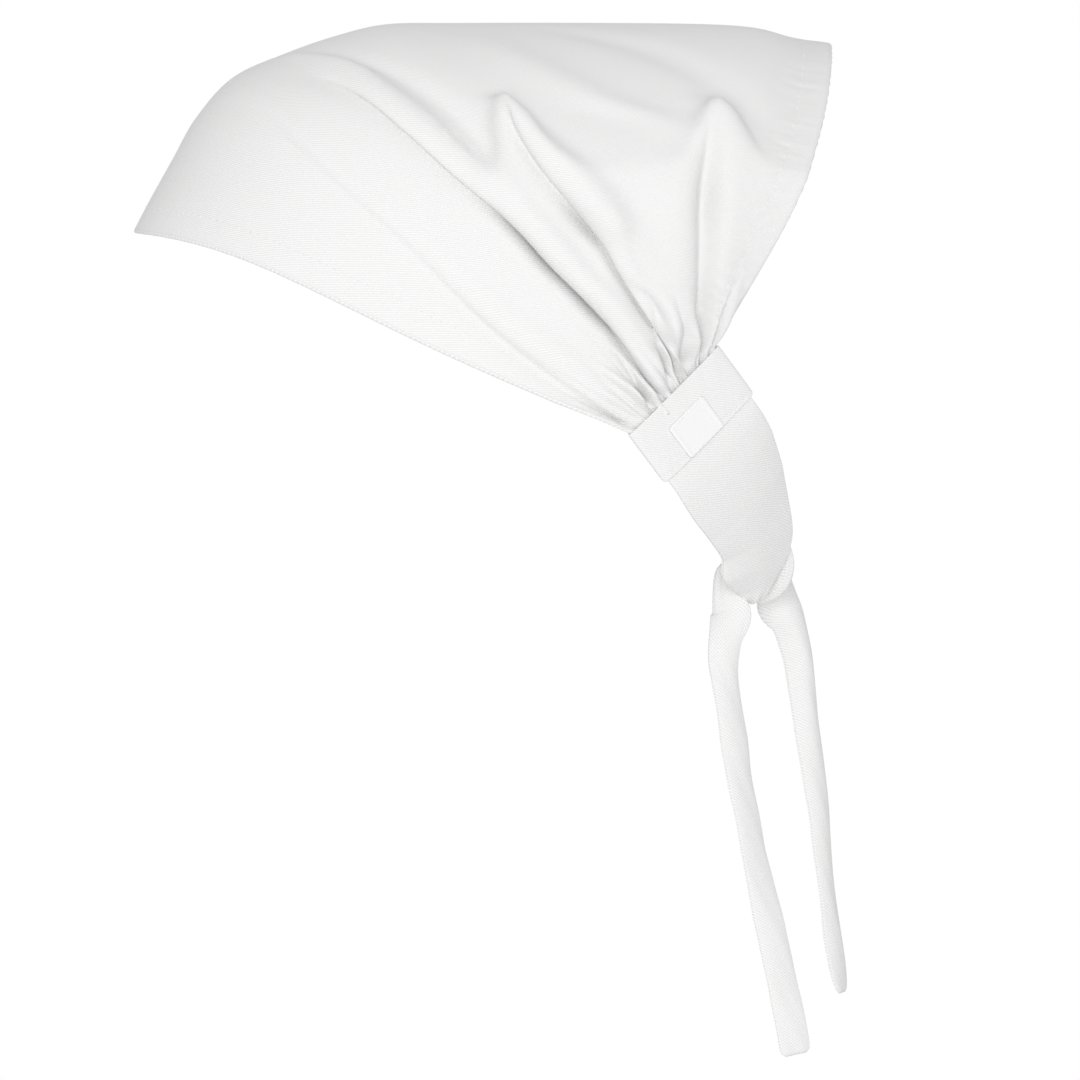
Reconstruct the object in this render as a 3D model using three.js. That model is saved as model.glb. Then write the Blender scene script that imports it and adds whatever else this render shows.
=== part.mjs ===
// A bandana chef hat: one gathered crown cloth, a folded cuff at each side, a small sewn label,
// and two tie strips that meet in a half knot at the nape. Millimetres, +Z up.
// The wearer faces -Y and +X is the wearer's left. The origin is where the top of the head touches the cloth.

import * as THREE from "three";

// Crown sizes
const crownLength = 217.2;      // front hem to back hem along the middle, seen from above
const crownRise = 65;           // top of the crown above the front hem, at the middle
const seatBack = 98.5;          // from the front hem back to the head seat
const headBreadth = 154;        // widest breadth of the crown
const crownWall = 1.4;          // cloth with its bagginess

// Gather sizes
const seamLength = 40.5;        // length of the gathered seam
const seamSide = 61;            // middle of the seam from the middle plane
const seamBack = 69.25;         // middle of the seam behind the head seat
const seamDrop = 111.9;         // middle of the seam below the head seat
const pleatHeight = 1.5;        // height of the gathers at the seam
const pleatCount = 7;           // gathers along the seam
const foldDepth = 5;            // depth of the deepest long fold

// Cuff and label sizes
const cuffTurn = 29.6;          // degrees that the cuff faces back from straight sideways
const cuffTilt = 40.7;          // degrees that the seam rises toward the back
const cuffWidth = 19.5;         // from the gathers to the lower edge
const cuffThickness = 3.1;
const labelLength = 15.5;
const labelWidth = 12.2;
const labelThickness = 0.7;
const labelInset = 0.2;         // label's lower edge above the cuff's lower edge
const labelShift = 2;           // label's middle toward the front from the cuff's middle

// Tie sizes
const tabWidth = 38.5;          // strip where it leaves the cuff
const tabThickness = 2;
const tieWidth = 11;            // hanging tail
const tieThickness = 1.6;
const knotSide = 6;             // knot's middle toward the wearer's left
const knotDrop = 167;           // knot's middle below the head seat
const knotBack = 97;            // knot's middle behind the head seat
const knotHalf = 8;             // half of the knot's breadth
const knotDepth = 7;            // strand's middle from the knot's axis, front to back
const knotHeight = 9;           // strand's middle from the knot's axis, up and down
const strandWidth = 6.9;        // bunched strip inside the knot
const strandThickness = 5.6;
const leftTailLength = 136;     // tail of the left strip, on the wearer's right below the knot
const rightTailLength = 152;    // tail of the right strip, on the wearer's left below the knot
const clearance = 0.3;          // between pieces that touch

// Mesh fineness
const crownColumns = 38;
const crownStations = 54;

const degree = Math.PI / 180;
const vec = (x, y, z) => new THREE.Vector3(x, y, z);

// Smooth reading of a table: each row is [place, value, value, ...], places rising
function readTable(rows, place) {
  const last = rows.length - 1;
  let i = 0;
  while (i < last - 1 && place > rows[i + 1][0]) i += 1;
  const slope = (k, c) => {
    const a = Math.max(k - 1, 0);
    const b = Math.min(k + 1, last);
    return (rows[b][c] - rows[a][c]) / (rows[b][0] - rows[a][0]);
  };
  const h = rows[i + 1][0] - rows[i][0];
  const q = THREE.MathUtils.clamp((place - rows[i][0]) / h, 0, 1);
  const values = [];
  for (let c = 1; c < rows[0].length; c += 1) {
    const near = (2 * q ** 3 - 3 * q ** 2 + 1) * rows[i][c] + (q ** 3 - 2 * q ** 2 + q) * h * slope(i, c);
    const far = (3 * q ** 2 - 2 * q ** 3) * rows[i + 1][c] + (q ** 3 - q ** 2) * h * slope(i + 1, c);
    values.push(near + far);
  }
  return values;
}

const ease = (from, to, value) => THREE.MathUtils.smoothstep(value, from, to);

// Cuff frame on the wearer's left: along the seam, down the cuff, and outward from the head
const outward = vec(Math.cos(cuffTurn * degree), Math.sin(cuffTurn * degree), 0);
const backward = vec(-Math.sin(cuffTurn * degree), Math.cos(cuffTurn * degree), 0);
const along = backward.clone().multiplyScalar(Math.cos(cuffTilt * degree))
  .add(vec(0, 0, Math.sin(cuffTilt * degree)));
const down = backward.clone().multiplyScalar(Math.sin(cuffTilt * degree))
  .add(vec(0, 0, -Math.cos(cuffTilt * degree)));
const seamMiddle = vec(seamSide, seamBack, -seamDrop);

// Point in the cuff frame: shares of the seam along it, millimetres down and outward
function cuffPoint(share, drop, out) {
  return seamMiddle.clone()
    .addScaledVector(along, share * seamLength)
    .addScaledVector(down, drop)
    .addScaledVector(outward, out);
}

// Middle line of the crown from the front hem back: [share of crownLength, share of crownRise]
const middleLine = [
  [0, 0], [0.025, 0.159], [0.057, 0.351], [0.0895, 0.543], [0.142, 0.736], [0.217, 0.853],
  [0.2892, 0.9375], [0.36, 0.993], [0.45, 1], [0.7, 1], [0.84, 0.992], [0.9, 0.972], [0.951, 0.923], [1, 0.904],
];
const middlePoints = middleLine.map(([back, up]) => [back * crownLength - seatBack, (up - 1) * crownRise + crownWall]);
const middleRows = [];
let middleRun = 0;
middlePoints.forEach((point, i) => {
  if (i > 0) middleRun += Math.hypot(point[0] - middlePoints[i - 1][0], point[1] - middlePoints[i - 1][1]);
  middleRows.push([middleRun, ...point]);
});
middleRows.forEach((row) => { row[0] /= middleRun; });

// Shape of the arcs that run over the head from one gathered seam to the other
// [place front to back, breadth as share of headBreadth, height of the widest point as share of the arc's
//  height, roundness, bow as share of crownRise, place of the bow]
const arcShapes = [
  [0.0, 1.0, 0.35, 2.4, 0.082, 2.5],
  [0.3, 1.0, 0.42, 2.25, 0.074, 2.2],
  [0.55, 1.0, 0.48, 2.1, 0.08, 1.8],
  [0.8, 0.94, 0.5, 2.1, 0.092, 1.4],
  [1.0, 0.86, 0.48, 2.1, 0.1, 1.25],
];

// One arc on the wearer's left as points evenly spaced from the seam to the middle line
function halfArc(place, count) {
  const start = cuffPoint(place - 0.5, -clearance, 0);
  const [middleY, middleZ] = readTable(middleRows, place);
  const [breadth, shoulder, roundness, bow, bowPlace] = readTable(arcShapes, place);
  const half = breadth * headBreadth / 2;
  const run = Math.hypot(middleY - start.y, middleZ - start.z);
  const points = [];
  for (let i = 0; i <= 160; i += 1) {
    const low = i <= 64;
    const angle = (i - 64) / 96 * Math.PI / 2;
    const rise = low ? i / 64 * shoulder : shoulder + (1 - shoulder) * Math.sin(angle) ** (2 / roundness);
    const x = low
      ? half - (half - start.x) * (1 - i / 64) ** 2
      : half * Math.max(Math.cos(angle), 0) ** (2 / roundness);
    const side = bow * crownRise * Math.sin(Math.PI * rise ** bowPlace);
    points.push(vec(
      x,
      start.y + (middleY - start.y) * rise + (middleZ - start.z) / run * side,
      start.z + (middleZ - start.z) * rise - (middleY - start.y) / run * side,
    ));
  }
  const length = [0];
  for (let i = 1; i < points.length; i += 1) length.push(length[i - 1] + points[i].distanceTo(points[i - 1]));
  const even = [];
  let k = 0;
  for (let j = 0; j <= count; j += 1) {
    const target = length[160] * j / count;
    while (k < 159 && length[k + 1] < target) k += 1;
    even.push(points[k].clone().lerp(points[k + 1], (target - length[k]) / (length[k + 1] - length[k])));
  }
  return even;
}

// Long folds and dents of each side, valleys negative. Places run from the front hem to the back hem and
// reach runs from the seam (0) to the middle line (1). Depths are shares of foldDepth, widths of seamLength.
// [side, place at the seam, place at 0.4, place at 0.8, reach from, reach to, depth, width low, width high]
const folds = [
  [1, 0.06, 0.16, 0.19, 0.0, 0.85, -0.3, 0.12, 0.45],
  [1, 0.395, 0.355, 0.325, 0.03, 0.92, -1.0, 0.07, 0.3],
  [1, 0.45, 0.41, 0.375, 0.1, 0.95, 0.5, 0.1, 0.4],
  [1, 0.56, 0.495, 0.46, 0.03, 0.62, -0.7, 0.08, 0.28],
  [1, 0.6, 0.54, 0.5, 0.1, 0.66, 0.45, 0.1, 0.3],
  [1, 0.785, 0.77, 0.78, 0.02, 0.52, -0.85, 0.08, 0.3],
  [1, 0.83, 0.83, 0.83, 0.1, 0.6, 0.4, 0.12, 0.35],
  [-1, 0.1, 0.19, 0.22, 0.0, 0.8, -0.3, 0.12, 0.45],
  [-1, 0.37, 0.33, 0.3, 0.03, 0.85, -0.9, 0.07, 0.3],
  [-1, 0.43, 0.39, 0.35, 0.1, 0.9, 0.45, 0.1, 0.4],
  [-1, 0.53, 0.51, 0.5, 0.03, 0.7, -0.7, 0.08, 0.3],
  [-1, 0.75, 0.74, 0.73, 0.02, 0.6, -0.8, 0.08, 0.3],
  [-1, 0.81, 0.8, 0.8, 0.1, 0.62, 0.4, 0.12, 0.35],
];

// How far the cloth stands out (or sinks) at a place, a reach and a side, on a strip so long from hem to hem
function reliefAt(side, place, reach, spread) {
  let relief = 0;
  for (const [foldSide, low, middle, high, from, to, depth, narrow, wide] of folds) {
    if (foldSide !== side) continue;
    const centre = readTable([[0, low], [0.4, middle], [0.8, high]], Math.min(reach, 0.8))[0];
    const width = THREE.MathUtils.lerp(narrow, wide, ease(0, 0.6, reach)) * seamLength;
    const offset = (place - centre) * spread / width;
    const fade = ease(from, from + 0.12, reach) * (1 - ease(to - 0.25, to, reach));
    relief += depth * foldDepth * Math.exp(-offset * offset) * fade;
  }
  const hems = ease(0, 0.05, place) * (1 - ease(0.95, 1, place));
  const gather = pleatHeight / 2 * Math.cos(2 * Math.PI * pleatCount * place);
  const gatherFade = 1 - ease(0.03, 0.16, reach);
  return relief * hems + gather * gatherFade * (1 - 0.5 * reach);
}

// Joins closed rings of equal count into one closed solid. A ring runs along the outer side and back
// along the inner side, so each end is capped by a strip that pairs the two sides. Faces end up outward.
function loft(rings) {
  const size = rings[0].length;
  const positions = rings.flat().flatMap((point) => [point.x, point.y, point.z]);
  const faces = [];
  for (let r = 0; r < rings.length - 1; r += 1) {
    for (let i = 0; i < size; i += 1) {
      const j = (i + 1) % size;
      const a = r * size + i;
      const b = r * size + j;
      const c = a + size;
      const d = b + size;
      faces.push(a, b, d, a, d, c);
    }
  }
  const last = (rings.length - 1) * size;
  for (let i = 0; i < size / 2 - 1; i += 1) {
    const j = size - 1 - i;
    faces.push(i, j, i + 1, i + 1, j, j - 1);
    faces.push(last + i, last + i + 1, last + j, last + i + 1, last + j - 1, last + j);
  }
  const points = rings.flat();
  let volume = 0;
  for (let f = 0; f < faces.length; f += 3) {
    const [a, b, c] = [points[faces[f]], points[faces[f + 1]], points[faces[f + 2]]];
    volume += a.dot(b.clone().cross(c));
  }
  if (volume < 0) faces.reverse();
  const geometry = new THREE.BufferGeometry();
  geometry.setAttribute("position", new THREE.Float32BufferAttribute(positions, 3));
  geometry.setIndex(faces);
  geometry.computeVertexNormals();
  return geometry;
}

// Column places from the front hem to the back hem, closer where the long folds run
function columnPlaces() {
  const steps = 400;
  const sums = [0];
  for (let i = 0; i < steps; i += 1) {
    const place = (i + 0.5) / steps;
    let weight = 1;
    for (const [, low, middle, high] of folds) {
      const offset = (place - (low + 2 * middle + high) / 4) / 0.05;
      weight += 0.35 * Math.exp(-offset * offset);
    }
    sums.push(sums[i] + weight);
  }
  const places = [];
  let k = 0;
  for (let j = 0; j <= crownColumns; j += 1) {
    const target = sums[steps] * j / crownColumns;
    while (k < steps - 1 && sums[k + 1] < target) k += 1;
    places.push((k + (target - sums[k]) / (sums[k + 1] - sums[k])) / steps);
  }
  return places;
}

// The crown: arcs over the head, each set out along both sides, then given its folds and its wall
function crownGeometry() {
  const places = columnPlaces();
  const half = crownStations / 2;
  const arcs = places.map((place) => halfArc(place, half));
  const base = [];
  for (let s = 0; s <= crownStations; s += 1) {
    const left = s <= half;
    const row = arcs.map((arc) => {
      const point = arc[left ? s : crownStations - s];
      return vec(left ? point.x : -point.x, point.y, point.z);
    });
    base.push(row);
  }
  const rings = base.map((row, s) => {
    const left = s <= half;
    const side = left ? 1 : -1;
    const reach = (left ? s : crownStations - s) / half;
    let spread = 0;
    for (let j = 1; j < row.length; j += 1) spread += row[j].distanceTo(row[j - 1]);
    const seamOut = vec(side * outward.x, outward.y, outward.z);
    const outer = [];
    const inner = [];
    row.forEach((point, j) => {
      const before = base[Math.max(s - 1, 0)][j];
      const after = base[Math.min(s + 1, crownStations)][j];
      const acrossCloth = after.clone().sub(before);
      const alongHem = row[Math.min(j + 1, crownColumns)].clone().sub(row[Math.max(j - 1, 0)]);
      const normal = alongHem.cross(acrossCloth).normalize();
      if (normal.dot(vec(point.x, point.y * 0.3, point.z + crownRise)) < 0) normal.negate();
      normal.lerp(seamOut, 1 - ease(0.0, 0.12, reach)).normalize();
      const relief = reliefAt(side, places[j], reach, spread);
      const seamInset = (pleatHeight / 2 + 0.1) * (1 - ease(0, 0.12, reach));
      outer.push(point.clone().addScaledVector(normal, relief - seamInset));
      inner.push(point.clone().addScaledVector(normal, relief - seamInset - crownWall));
    });
    return [...outer, ...inner.reverse()];
  });
  return loft(rings);
}

// A box-like cloth piece in the cuff frame with softly rounded long edges
function cuffGeometry(side) {
  const rings = [];
  const rows = [[0, 0.72], [0.05, 1], [0.5, 1], [0.95, 1], [1, 0.72]];
  const section = [
    [-0.5, 0.3], [-0.485, 0.5], [-0.2, 0.5], [0.2, 0.5], [0.485, 0.5], [0.5, 0.3],
    [0.5, -0.3], [0.485, -0.5], [0.2, -0.5], [-0.2, -0.5], [-0.485, -0.5], [-0.5, -0.3],
  ];
  for (const [share, thick] of rows) {
    const ring = section.map(([across, deep]) => {
      const point = cuffPoint(across * (1 + 2 * clearance / seamLength), share * cuffWidth,
        (deep * thick - 0.5) * cuffThickness);
      return vec(side * point.x, point.y, point.z);
    });
    rings.push(ring);
  }
  return loft(rings);
}

// The label lies on the left cuff, level with its lower edge
function labelGeometry() {
  const middle = -labelShift / seamLength;
  const half = labelLength / 2 / seamLength;
  const top = cuffWidth - labelInset - labelWidth;
  const rings = [0, 0.5, 1].map((share) => {
    const drop = top + share * labelWidth;
    return [
      cuffPoint(middle - half, drop, clearance + labelThickness),
      cuffPoint(middle, drop, clearance + labelThickness),
      cuffPoint(middle + half, drop, clearance + labelThickness),
      cuffPoint(middle + half, drop, clearance),
      cuffPoint(middle, drop, clearance),
      cuffPoint(middle - half, drop, clearance),
    ];
  });
  return loft(rings);
}

// Knot: both strips wind once round its middle line, always on opposite sides.
// turn 0 is the outer side, a quarter is the bottom, a half is the side of the neck.
function knotPoint(x, turn) {
  const angle = turn * 2 * Math.PI;
  return vec(knotSide + x, knotBack + knotDepth * Math.cos(angle), -knotDrop - knotHeight * Math.sin(angle));
}

function knotNormal(turn) {
  const angle = turn * 2 * Math.PI;
  return vec(0, Math.cos(angle) / knotDepth, -Math.sin(angle) / knotHeight).normalize();
}

const facing = (turn, tip) => vec(
  Math.cos(turn * degree) * Math.cos(tip * degree),
  Math.sin(turn * degree) * Math.cos(tip * degree),
  Math.sin(tip * degree),
);

// Wide tab between its cuff and the knot
// [share of the way, width as share of tabWidth, thickness as share of tabThickness, hollow]
const leftTab = [
  [0.0, 1.0, 1.0, 0.0],
  [0.02, 1.0, 1.0, 0.0],
  [0.06, 1.0, 1.0, 0.0],
  [0.14, 1.01, 1.0, 0.01],
  [0.28, 1.02, 1.0, 0.03],
  [0.5, 0.98, 1.05, 0.05],
  [0.75, 0.8, 1.2, 0.06],
  [1.0, 0.58, 1.5, 0.06],
];
const rightTab = [
  [0.0, 1.0, 1.0, 0.0],
  [0.02, 1.0, 1.0, 0.0],
  [0.06, 1.0, 1.0, 0.0],
  [0.14, 1.0, 1.0, 0.01],
  [0.28, 0.99, 1.0, 0.03],
  [0.5, 0.92, 1.05, 0.06],
  [0.75, 0.72, 1.3, 0.08],
  [1.0, 0.44, 1.9, 0.06],
];

// Where a tab ends and where its strip goes on to the knot, from the knot's middle
// [out as share of knotHalf, back as share of knotDepth, up as share of knotHeight, facing turn,
//  facing tip, width as share of strandWidth, thickness as share of strandThickness]
const leftBend = [
  [2.0, 0.08, 0.11, 46, -8, 0, 0],
  [1.25, 0.08, -0.78, 40, -50, 1.8, 0.85],
];
const rightBend = [
  [-2.25, 0.1, 0.95, 104, 6, 0, 0],
  [-1.6, -0.6, 0.5, 104, -6, 1.55, 0.8],
];

// Tails below the knot
// [share of the tail length as drop, out from the knot's middle as share of knotHalf, back as share of
//  knotDepth, facing turn, width as share of tieWidth, thickness as share of tieThickness, hollow]
const leftTail = [
  [0.0875, -1.9, 1.25, 38, 1.3, 1.6, 0.2],
  [0.134, -2.0, 1.75, 40, 1.2, 1.2, 0.22],
  [0.18, -2.1, 2.0, 42, 1.1, 1.0, 0.22],
  [0.226, -2.15, 2.2, 45, 1.02, 1.0, 0.2],
  [0.319, -2.2, 2.44, 53, 1.0, 1.0, 0.16],
  [0.411, -2.25, 2.63, 51, 1.0, 1.0, 0.14],
  [0.504, -2.3, 2.86, 49, 1.0, 1.0, 0.12],
  [0.596, -2.35, 3.04, 53, 1.0, 1.0, 0.1],
  [0.688, -2.4, 3.19, 59, 1.0, 1.0, 0.1],
  [0.78, -2.4, 3.38, 63, 1.0, 1.0, 0.08],
  [0.873, -2.4, 3.57, 57, 1.0, 1.0, 0.08],
  [0.965, -2.4, 3.77, 64, 0.96, 1.0, 0.05],
  [1.0, -2.4, 3.84, 64, 0.6, 0.7, 0.02],
];
const rightTail = [
  [0.02, 1.2, -1.55, -20, 0.7, 2.2, 0.05],
  [0.06, 1.25, -1.6, -14, 0.8, 1.8, 0.1],
  [0.1, 1.35, -1.4, -5, 1.15, 1.2, 0.12],
  [0.151, 1.5, -1.6, 10, 0.97, 1.0, 0.12],
  [0.192, 1.5, -1.66, 20, 0.93, 1.0, 0.12],
  [0.233, 1.5, -1.58, 32, 0.9, 1.0, 0.1],
  [0.274, 1.5, -1.43, 42, 0.95, 1.0, 0.1],
  [0.355, 1.5, -1.16, 43, 1.0, 1.0, 0.08],
  [0.437, 1.5, -0.92, 49, 1.0, 1.0, 0.08],
  [0.518, 1.5, -0.56, 50, 1.0, 1.0, 0.06],
  [0.6, 1.5, -0.24, 47, 1.0, 1.0, 0.06],
  [0.681, 1.5, 0.14, 40, 1.0, 1.0, 0.06],
  [0.762, 1.5, 0.54, 35, 1.0, 1.0, 0.06],
  [0.844, 1.5, 0.9, 37, 1.0, 1.0, 0.05],
  [0.925, 1.5, 1.27, 30, 1.0, 1.0, 0.04],
  [0.985, 1.5, 1.49, 30, 0.97, 1.0, 0.03],
  [1.0, 1.5, 1.54, 30, 0.86, 0.7, 0.02],
];

const knotOffset = (out, back, up) => vec(
  knotSide + out * knotHalf, knotBack + back * knotDepth, -knotDrop + up * knotHeight,
);

// Middle line of a strip: its places, facings, widths, thicknesses and hollows, from cuff to free end
function stripStops(side) {
  const onLeft = side > 0;
  const mirror = (point) => vec(side * point.x, point.y, point.z);
  const start = mirror(cuffPoint(0, cuffWidth + clearance, -cuffThickness / 2));
  const startFacing = mirror(outward);
  const startWay = mirror(down);
  const [[endOut, endBack, endUp, endTurn, endTip], bend] = onLeft ? leftBend : rightBend;
  const end = knotOffset(endOut, endBack, endUp);
  const endFacing = facing(endTurn, endTip);
  const endWay = (onLeft ? vec(-0.45, -0.05, -0.9) : vec(0.75, -0.1, -0.65)).normalize();
  const reach = start.distanceTo(end);
  const stops = (onLeft ? leftTab : rightTab).map(([share, width, thick, hollow]) => {
    const q = share;
    const centre = start.clone().multiplyScalar(2 * q ** 3 - 3 * q ** 2 + 1)
      .addScaledVector(startWay, (q ** 3 - 2 * q ** 2 + q) * reach * 1.1)
      .addScaledVector(end, 3 * q ** 2 - 2 * q ** 3)
      .addScaledVector(endWay, (q ** 3 - q ** 2) * reach * 0.8);
    return {
      centre,
      face: startFacing.clone().lerp(endFacing, ease(0, 1, q)).normalize(),
      width: width * tabWidth,
      thick: thick * tabThickness,
      hollow,
    };
  });
  stops.push({
    centre: knotOffset(bend[0], bend[1], bend[2]),
    face: facing(bend[3], bend[4]),
    width: bend[5] * strandWidth,
    thick: bend[6] * strandThickness,
    hollow: 0,
  });
  const from = onLeft ? 2 : 0;
  for (let i = from; i <= 8; i += 1) {
    const q = i / 8;
    const turn = onLeft ? q : 0.5 - q;
    stops.push({
      centre: knotPoint(side * knotHalf * (1 - 2 * q), turn),
      face: knotNormal(turn).multiplyScalar(onLeft ? 1 : -1),
      width: strandWidth,
      thick: strandThickness,
      hollow: 0,
    });
  }
  const tailLength = onLeft ? leftTailLength : rightTailLength;
  for (const [drop, out, back, turn, width, thick, hollow] of onLeft ? leftTail : rightTail) {
    stops.push({
      centre: knotOffset(out, back, 0).add(vec(0, 0, -drop * tailLength)),
      face: facing(turn, 0),
      width: width * tieWidth,
      thick: thick * tieThickness,
      hollow,
    });
  }
  return stops;
}

// A strip of cloth carried along its stops: a flat section with soft edges, hollow on its inner side
function stripGeometry(side) {
  const stops = stripStops(side);
  const run = [0];
  for (let i = 1; i < stops.length; i += 1) run.push(run[i - 1] + stops[i].centre.distanceTo(stops[i - 1].centre));
  const rows = stops.map((stop, i) => [
    run[i], ...stop.centre.toArray(), ...stop.face.toArray(), stop.width, stop.thick, stop.hollow,
  ]);
  const places = [];
  for (let i = 0; i < stops.length - 1; i += 1) {
    const steps = Math.max(1, Math.round((run[i + 1] - run[i]) / 6));
    for (let k = 0; k < steps; k += 1) places.push(THREE.MathUtils.lerp(run[i], run[i + 1], k / steps));
  }
  places.push(run[run.length - 1]);
  const across = [-1, -0.7, -0.25, 0.25, 0.7, 1];
  const rings = places.map((place) => {
    const [x, y, z, fx, fy, fz, width, thick, hollow] = readTable(rows, place);
    const ahead = readTable(rows, Math.min(place + 0.5, run[run.length - 1]));
    const behind = readTable(rows, Math.max(place - 0.5, 0));
    const way = vec(ahead[0] - behind[0], ahead[1] - behind[1], ahead[2] - behind[2]).normalize();
    const face = vec(fx, fy, fz).addScaledVector(way, -way.dot(vec(fx, fy, fz))).normalize();
    const over = way.clone().cross(face);
    const corner = (share, outerSide) => {
      const edge = thick / 2 * (1 - 0.45 * share ** 4);
      const sink = hollow * width * share * share;
      return vec(x, y, z)
        .addScaledVector(over, share * width / 2)
        .addScaledVector(face, (outerSide ? edge : -edge) - sink);
    };
    return [...across.map((share) => corner(share, true)), ...[...across].reverse().map((share) => corner(share, false))];
  });
  return loft(rings);
}

const clothMaterial = new THREE.MeshStandardMaterial({ color: 0xf2f1ee, roughness: 0.92, metalness: 0 });
const cuffMaterial = new THREE.MeshStandardMaterial({ color: 0xf1f0ed, roughness: 0.92, metalness: 0 });
const tieMaterial = new THREE.MeshStandardMaterial({ color: 0xf0efec, roughness: 0.92, metalness: 0 });
const labelMaterial = new THREE.MeshStandardMaterial({ color: 0xfbfbfb, roughness: 0.7, metalness: 0 });

const group = new THREE.Group();

function addPiece(name, geometry, material) {
  const mesh = new THREE.Mesh(geometry, material.clone());
  mesh.name = name;
  group.add(mesh);
}

addPiece("crown_panel", crownGeometry(), clothMaterial);
addPiece("cuff_left", cuffGeometry(1), cuffMaterial);
addPiece("cuff_right", cuffGeometry(-1), cuffMaterial);
addPiece("tie_left", stripGeometry(1), tieMaterial);
addPiece("tie_right", stripGeometry(-1), tieMaterial);
addPiece("label", labelGeometry(), labelMaterial);

export default group;
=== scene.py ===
"""A white bandana chef hat of cotton twill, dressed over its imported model.

Everything is in metres. +Z is up, the wearer faces -Y and +X is the wearer's left. The origin is where the
top of the head touches the cloth. A place runs over the head from the front hem (0) to the back hem (1), and
a reach runs from a gathered seam (0) up to the middle line of the crown (1).
"""
import logging
import math
from dataclasses import dataclass
from enum import Enum

import bpy
import numpy as np
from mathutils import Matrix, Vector
from numpy.typing import NDArray


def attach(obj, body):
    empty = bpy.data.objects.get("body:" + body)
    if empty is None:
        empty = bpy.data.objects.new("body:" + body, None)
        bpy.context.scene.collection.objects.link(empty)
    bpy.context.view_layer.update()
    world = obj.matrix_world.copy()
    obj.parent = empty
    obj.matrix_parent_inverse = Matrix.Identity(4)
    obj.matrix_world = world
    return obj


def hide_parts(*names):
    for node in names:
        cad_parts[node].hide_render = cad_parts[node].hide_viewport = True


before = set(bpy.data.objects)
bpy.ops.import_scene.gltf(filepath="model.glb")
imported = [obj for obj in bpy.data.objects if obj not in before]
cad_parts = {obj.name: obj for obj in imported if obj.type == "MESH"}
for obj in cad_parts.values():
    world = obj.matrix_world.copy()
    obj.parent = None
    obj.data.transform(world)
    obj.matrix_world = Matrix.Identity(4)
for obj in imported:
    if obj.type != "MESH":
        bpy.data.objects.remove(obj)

Floats = NDArray[np.float64]
Rows = tuple[tuple[float, ...], ...]
Colour = tuple[float, float, float]

LOG = logging.getLogger("chef_hat")
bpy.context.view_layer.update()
CLOTH_MAP = "cloth"
BODY = "root"
UP = np.array([0.0, 0.0, 1.0])


class Side(Enum):
    """The wearer's sides, as the sign of X."""

    LEFT = 1
    RIGHT = -1


class Slot(Enum):
    """Finish slots of the record."""

    CROWN = "crown_cloth"
    CUFF = "cuff_cloth"
    TIE = "tie_cloth"
    LABEL = "label_cloth"


# Reading tables, and small vector work


def read_table(rows: Rows | Floats, place: Floats | float) -> Floats:
    """Reads a table smoothly: a cubic between rows, each row's slope taken from its two neighbours.

    Args:
        rows: Rows of a rising place and the values there.
        place: Where to read, held within the table's ends.

    Returns:
        The values, with one more axis than place has.
    """
    table = np.asarray(rows, float)
    at, values = table[:, 0], table[:, 1:]
    index = np.arange(len(at))
    before, after = np.maximum(index - 1, 0), np.minimum(index + 1, len(at) - 1)
    slope = (values[after] - values[before]) / (at[after] - at[before])[:, None]
    place = np.asarray(place, float)
    i = np.clip(np.searchsorted(at, place, side="right") - 1, 0, len(at) - 2)
    gap = (at[i + 1] - at[i])[..., None]
    q = np.clip((place - at[i])[..., None] / gap, 0.0, 1.0)
    near = (2 * q**3 - 3 * q**2 + 1) * values[i] + (q**3 - 2 * q**2 + q) * gap * slope[i]
    far = (3 * q**2 - 2 * q**3) * values[i + 1] + (q**3 - q**2) * gap * slope[i + 1]
    return near + far


def ease(low: float, high: float, value: Floats | float) -> Floats:
    """Smooth step from 0 at low to 1 at high."""
    q = np.clip((np.asarray(value, float) - low) / (high - low), 0.0, 1.0)
    return q * q * (3 - 2 * q)


def hump(value: Floats) -> Floats:
    """Bell of height 1 and half breadth 1: e to the minus value squared."""
    return np.exp(-value * value)


def unit(vectors: Floats) -> Floats:
    """Vectors at length 1."""
    return vectors / np.maximum(np.linalg.norm(vectors, axis=-1, keepdims=True), 1e-12)


def wobble(value: Floats, seed: float) -> Floats:
    """Irregular wave between about -1 and 1: three sines whose rates have no common measure."""
    slow, brisk, fast = value + seed, 2.3 * value + 1.7 * seed, 4.1 * value + 2.9 * seed
    return (np.sin(slow) + 0.6 * np.sin(brisk) + 0.4 * np.sin(fast)) / 1.6


def run_length(points: Floats, axis: int) -> Floats:
    """Distance travelled along an axis of a grid of points, starting from 0.

    Args:
        points: Points on a grid.
        axis: The grid's axis to travel along.

    Returns:
        Distances in metres.
    """
    steps = np.linalg.norm(np.diff(points, axis=axis), axis=-1)
    start = np.zeros_like(np.take(steps, [0], axis=axis))
    return np.concatenate([start, np.cumsum(steps, axis=axis)], axis=axis)


def mirrored(points: Floats, side: Side) -> Floats:
    """Points of the wearer's left carried to a side."""
    return points * np.array([side.value, 1.0, 1.0])


def both_halves(left: Floats, right: Floats) -> Floats:
    """Rows of the left half up to the middle line, then those of the right half back down to its seam."""
    return np.concatenate([left, right[-2::-1]])


def between_hems(place: Floats, margin: float) -> Floats:
    """1 over the head, easing to 0 over a margin at each hem."""
    return ease(0.0, margin, place) * (1 - ease(1 - margin, 1.0, place))


def across_cloth(points: Floats, outward: Floats) -> Floats:
    """Directions square to a grid of points, on the side that on the whole faces outward."""
    normal = unit(np.cross(np.gradient(points, axis=1), np.gradient(points, axis=0)))
    return normal if (normal * outward).sum() >= 0 else -normal


# Meshes


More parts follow.
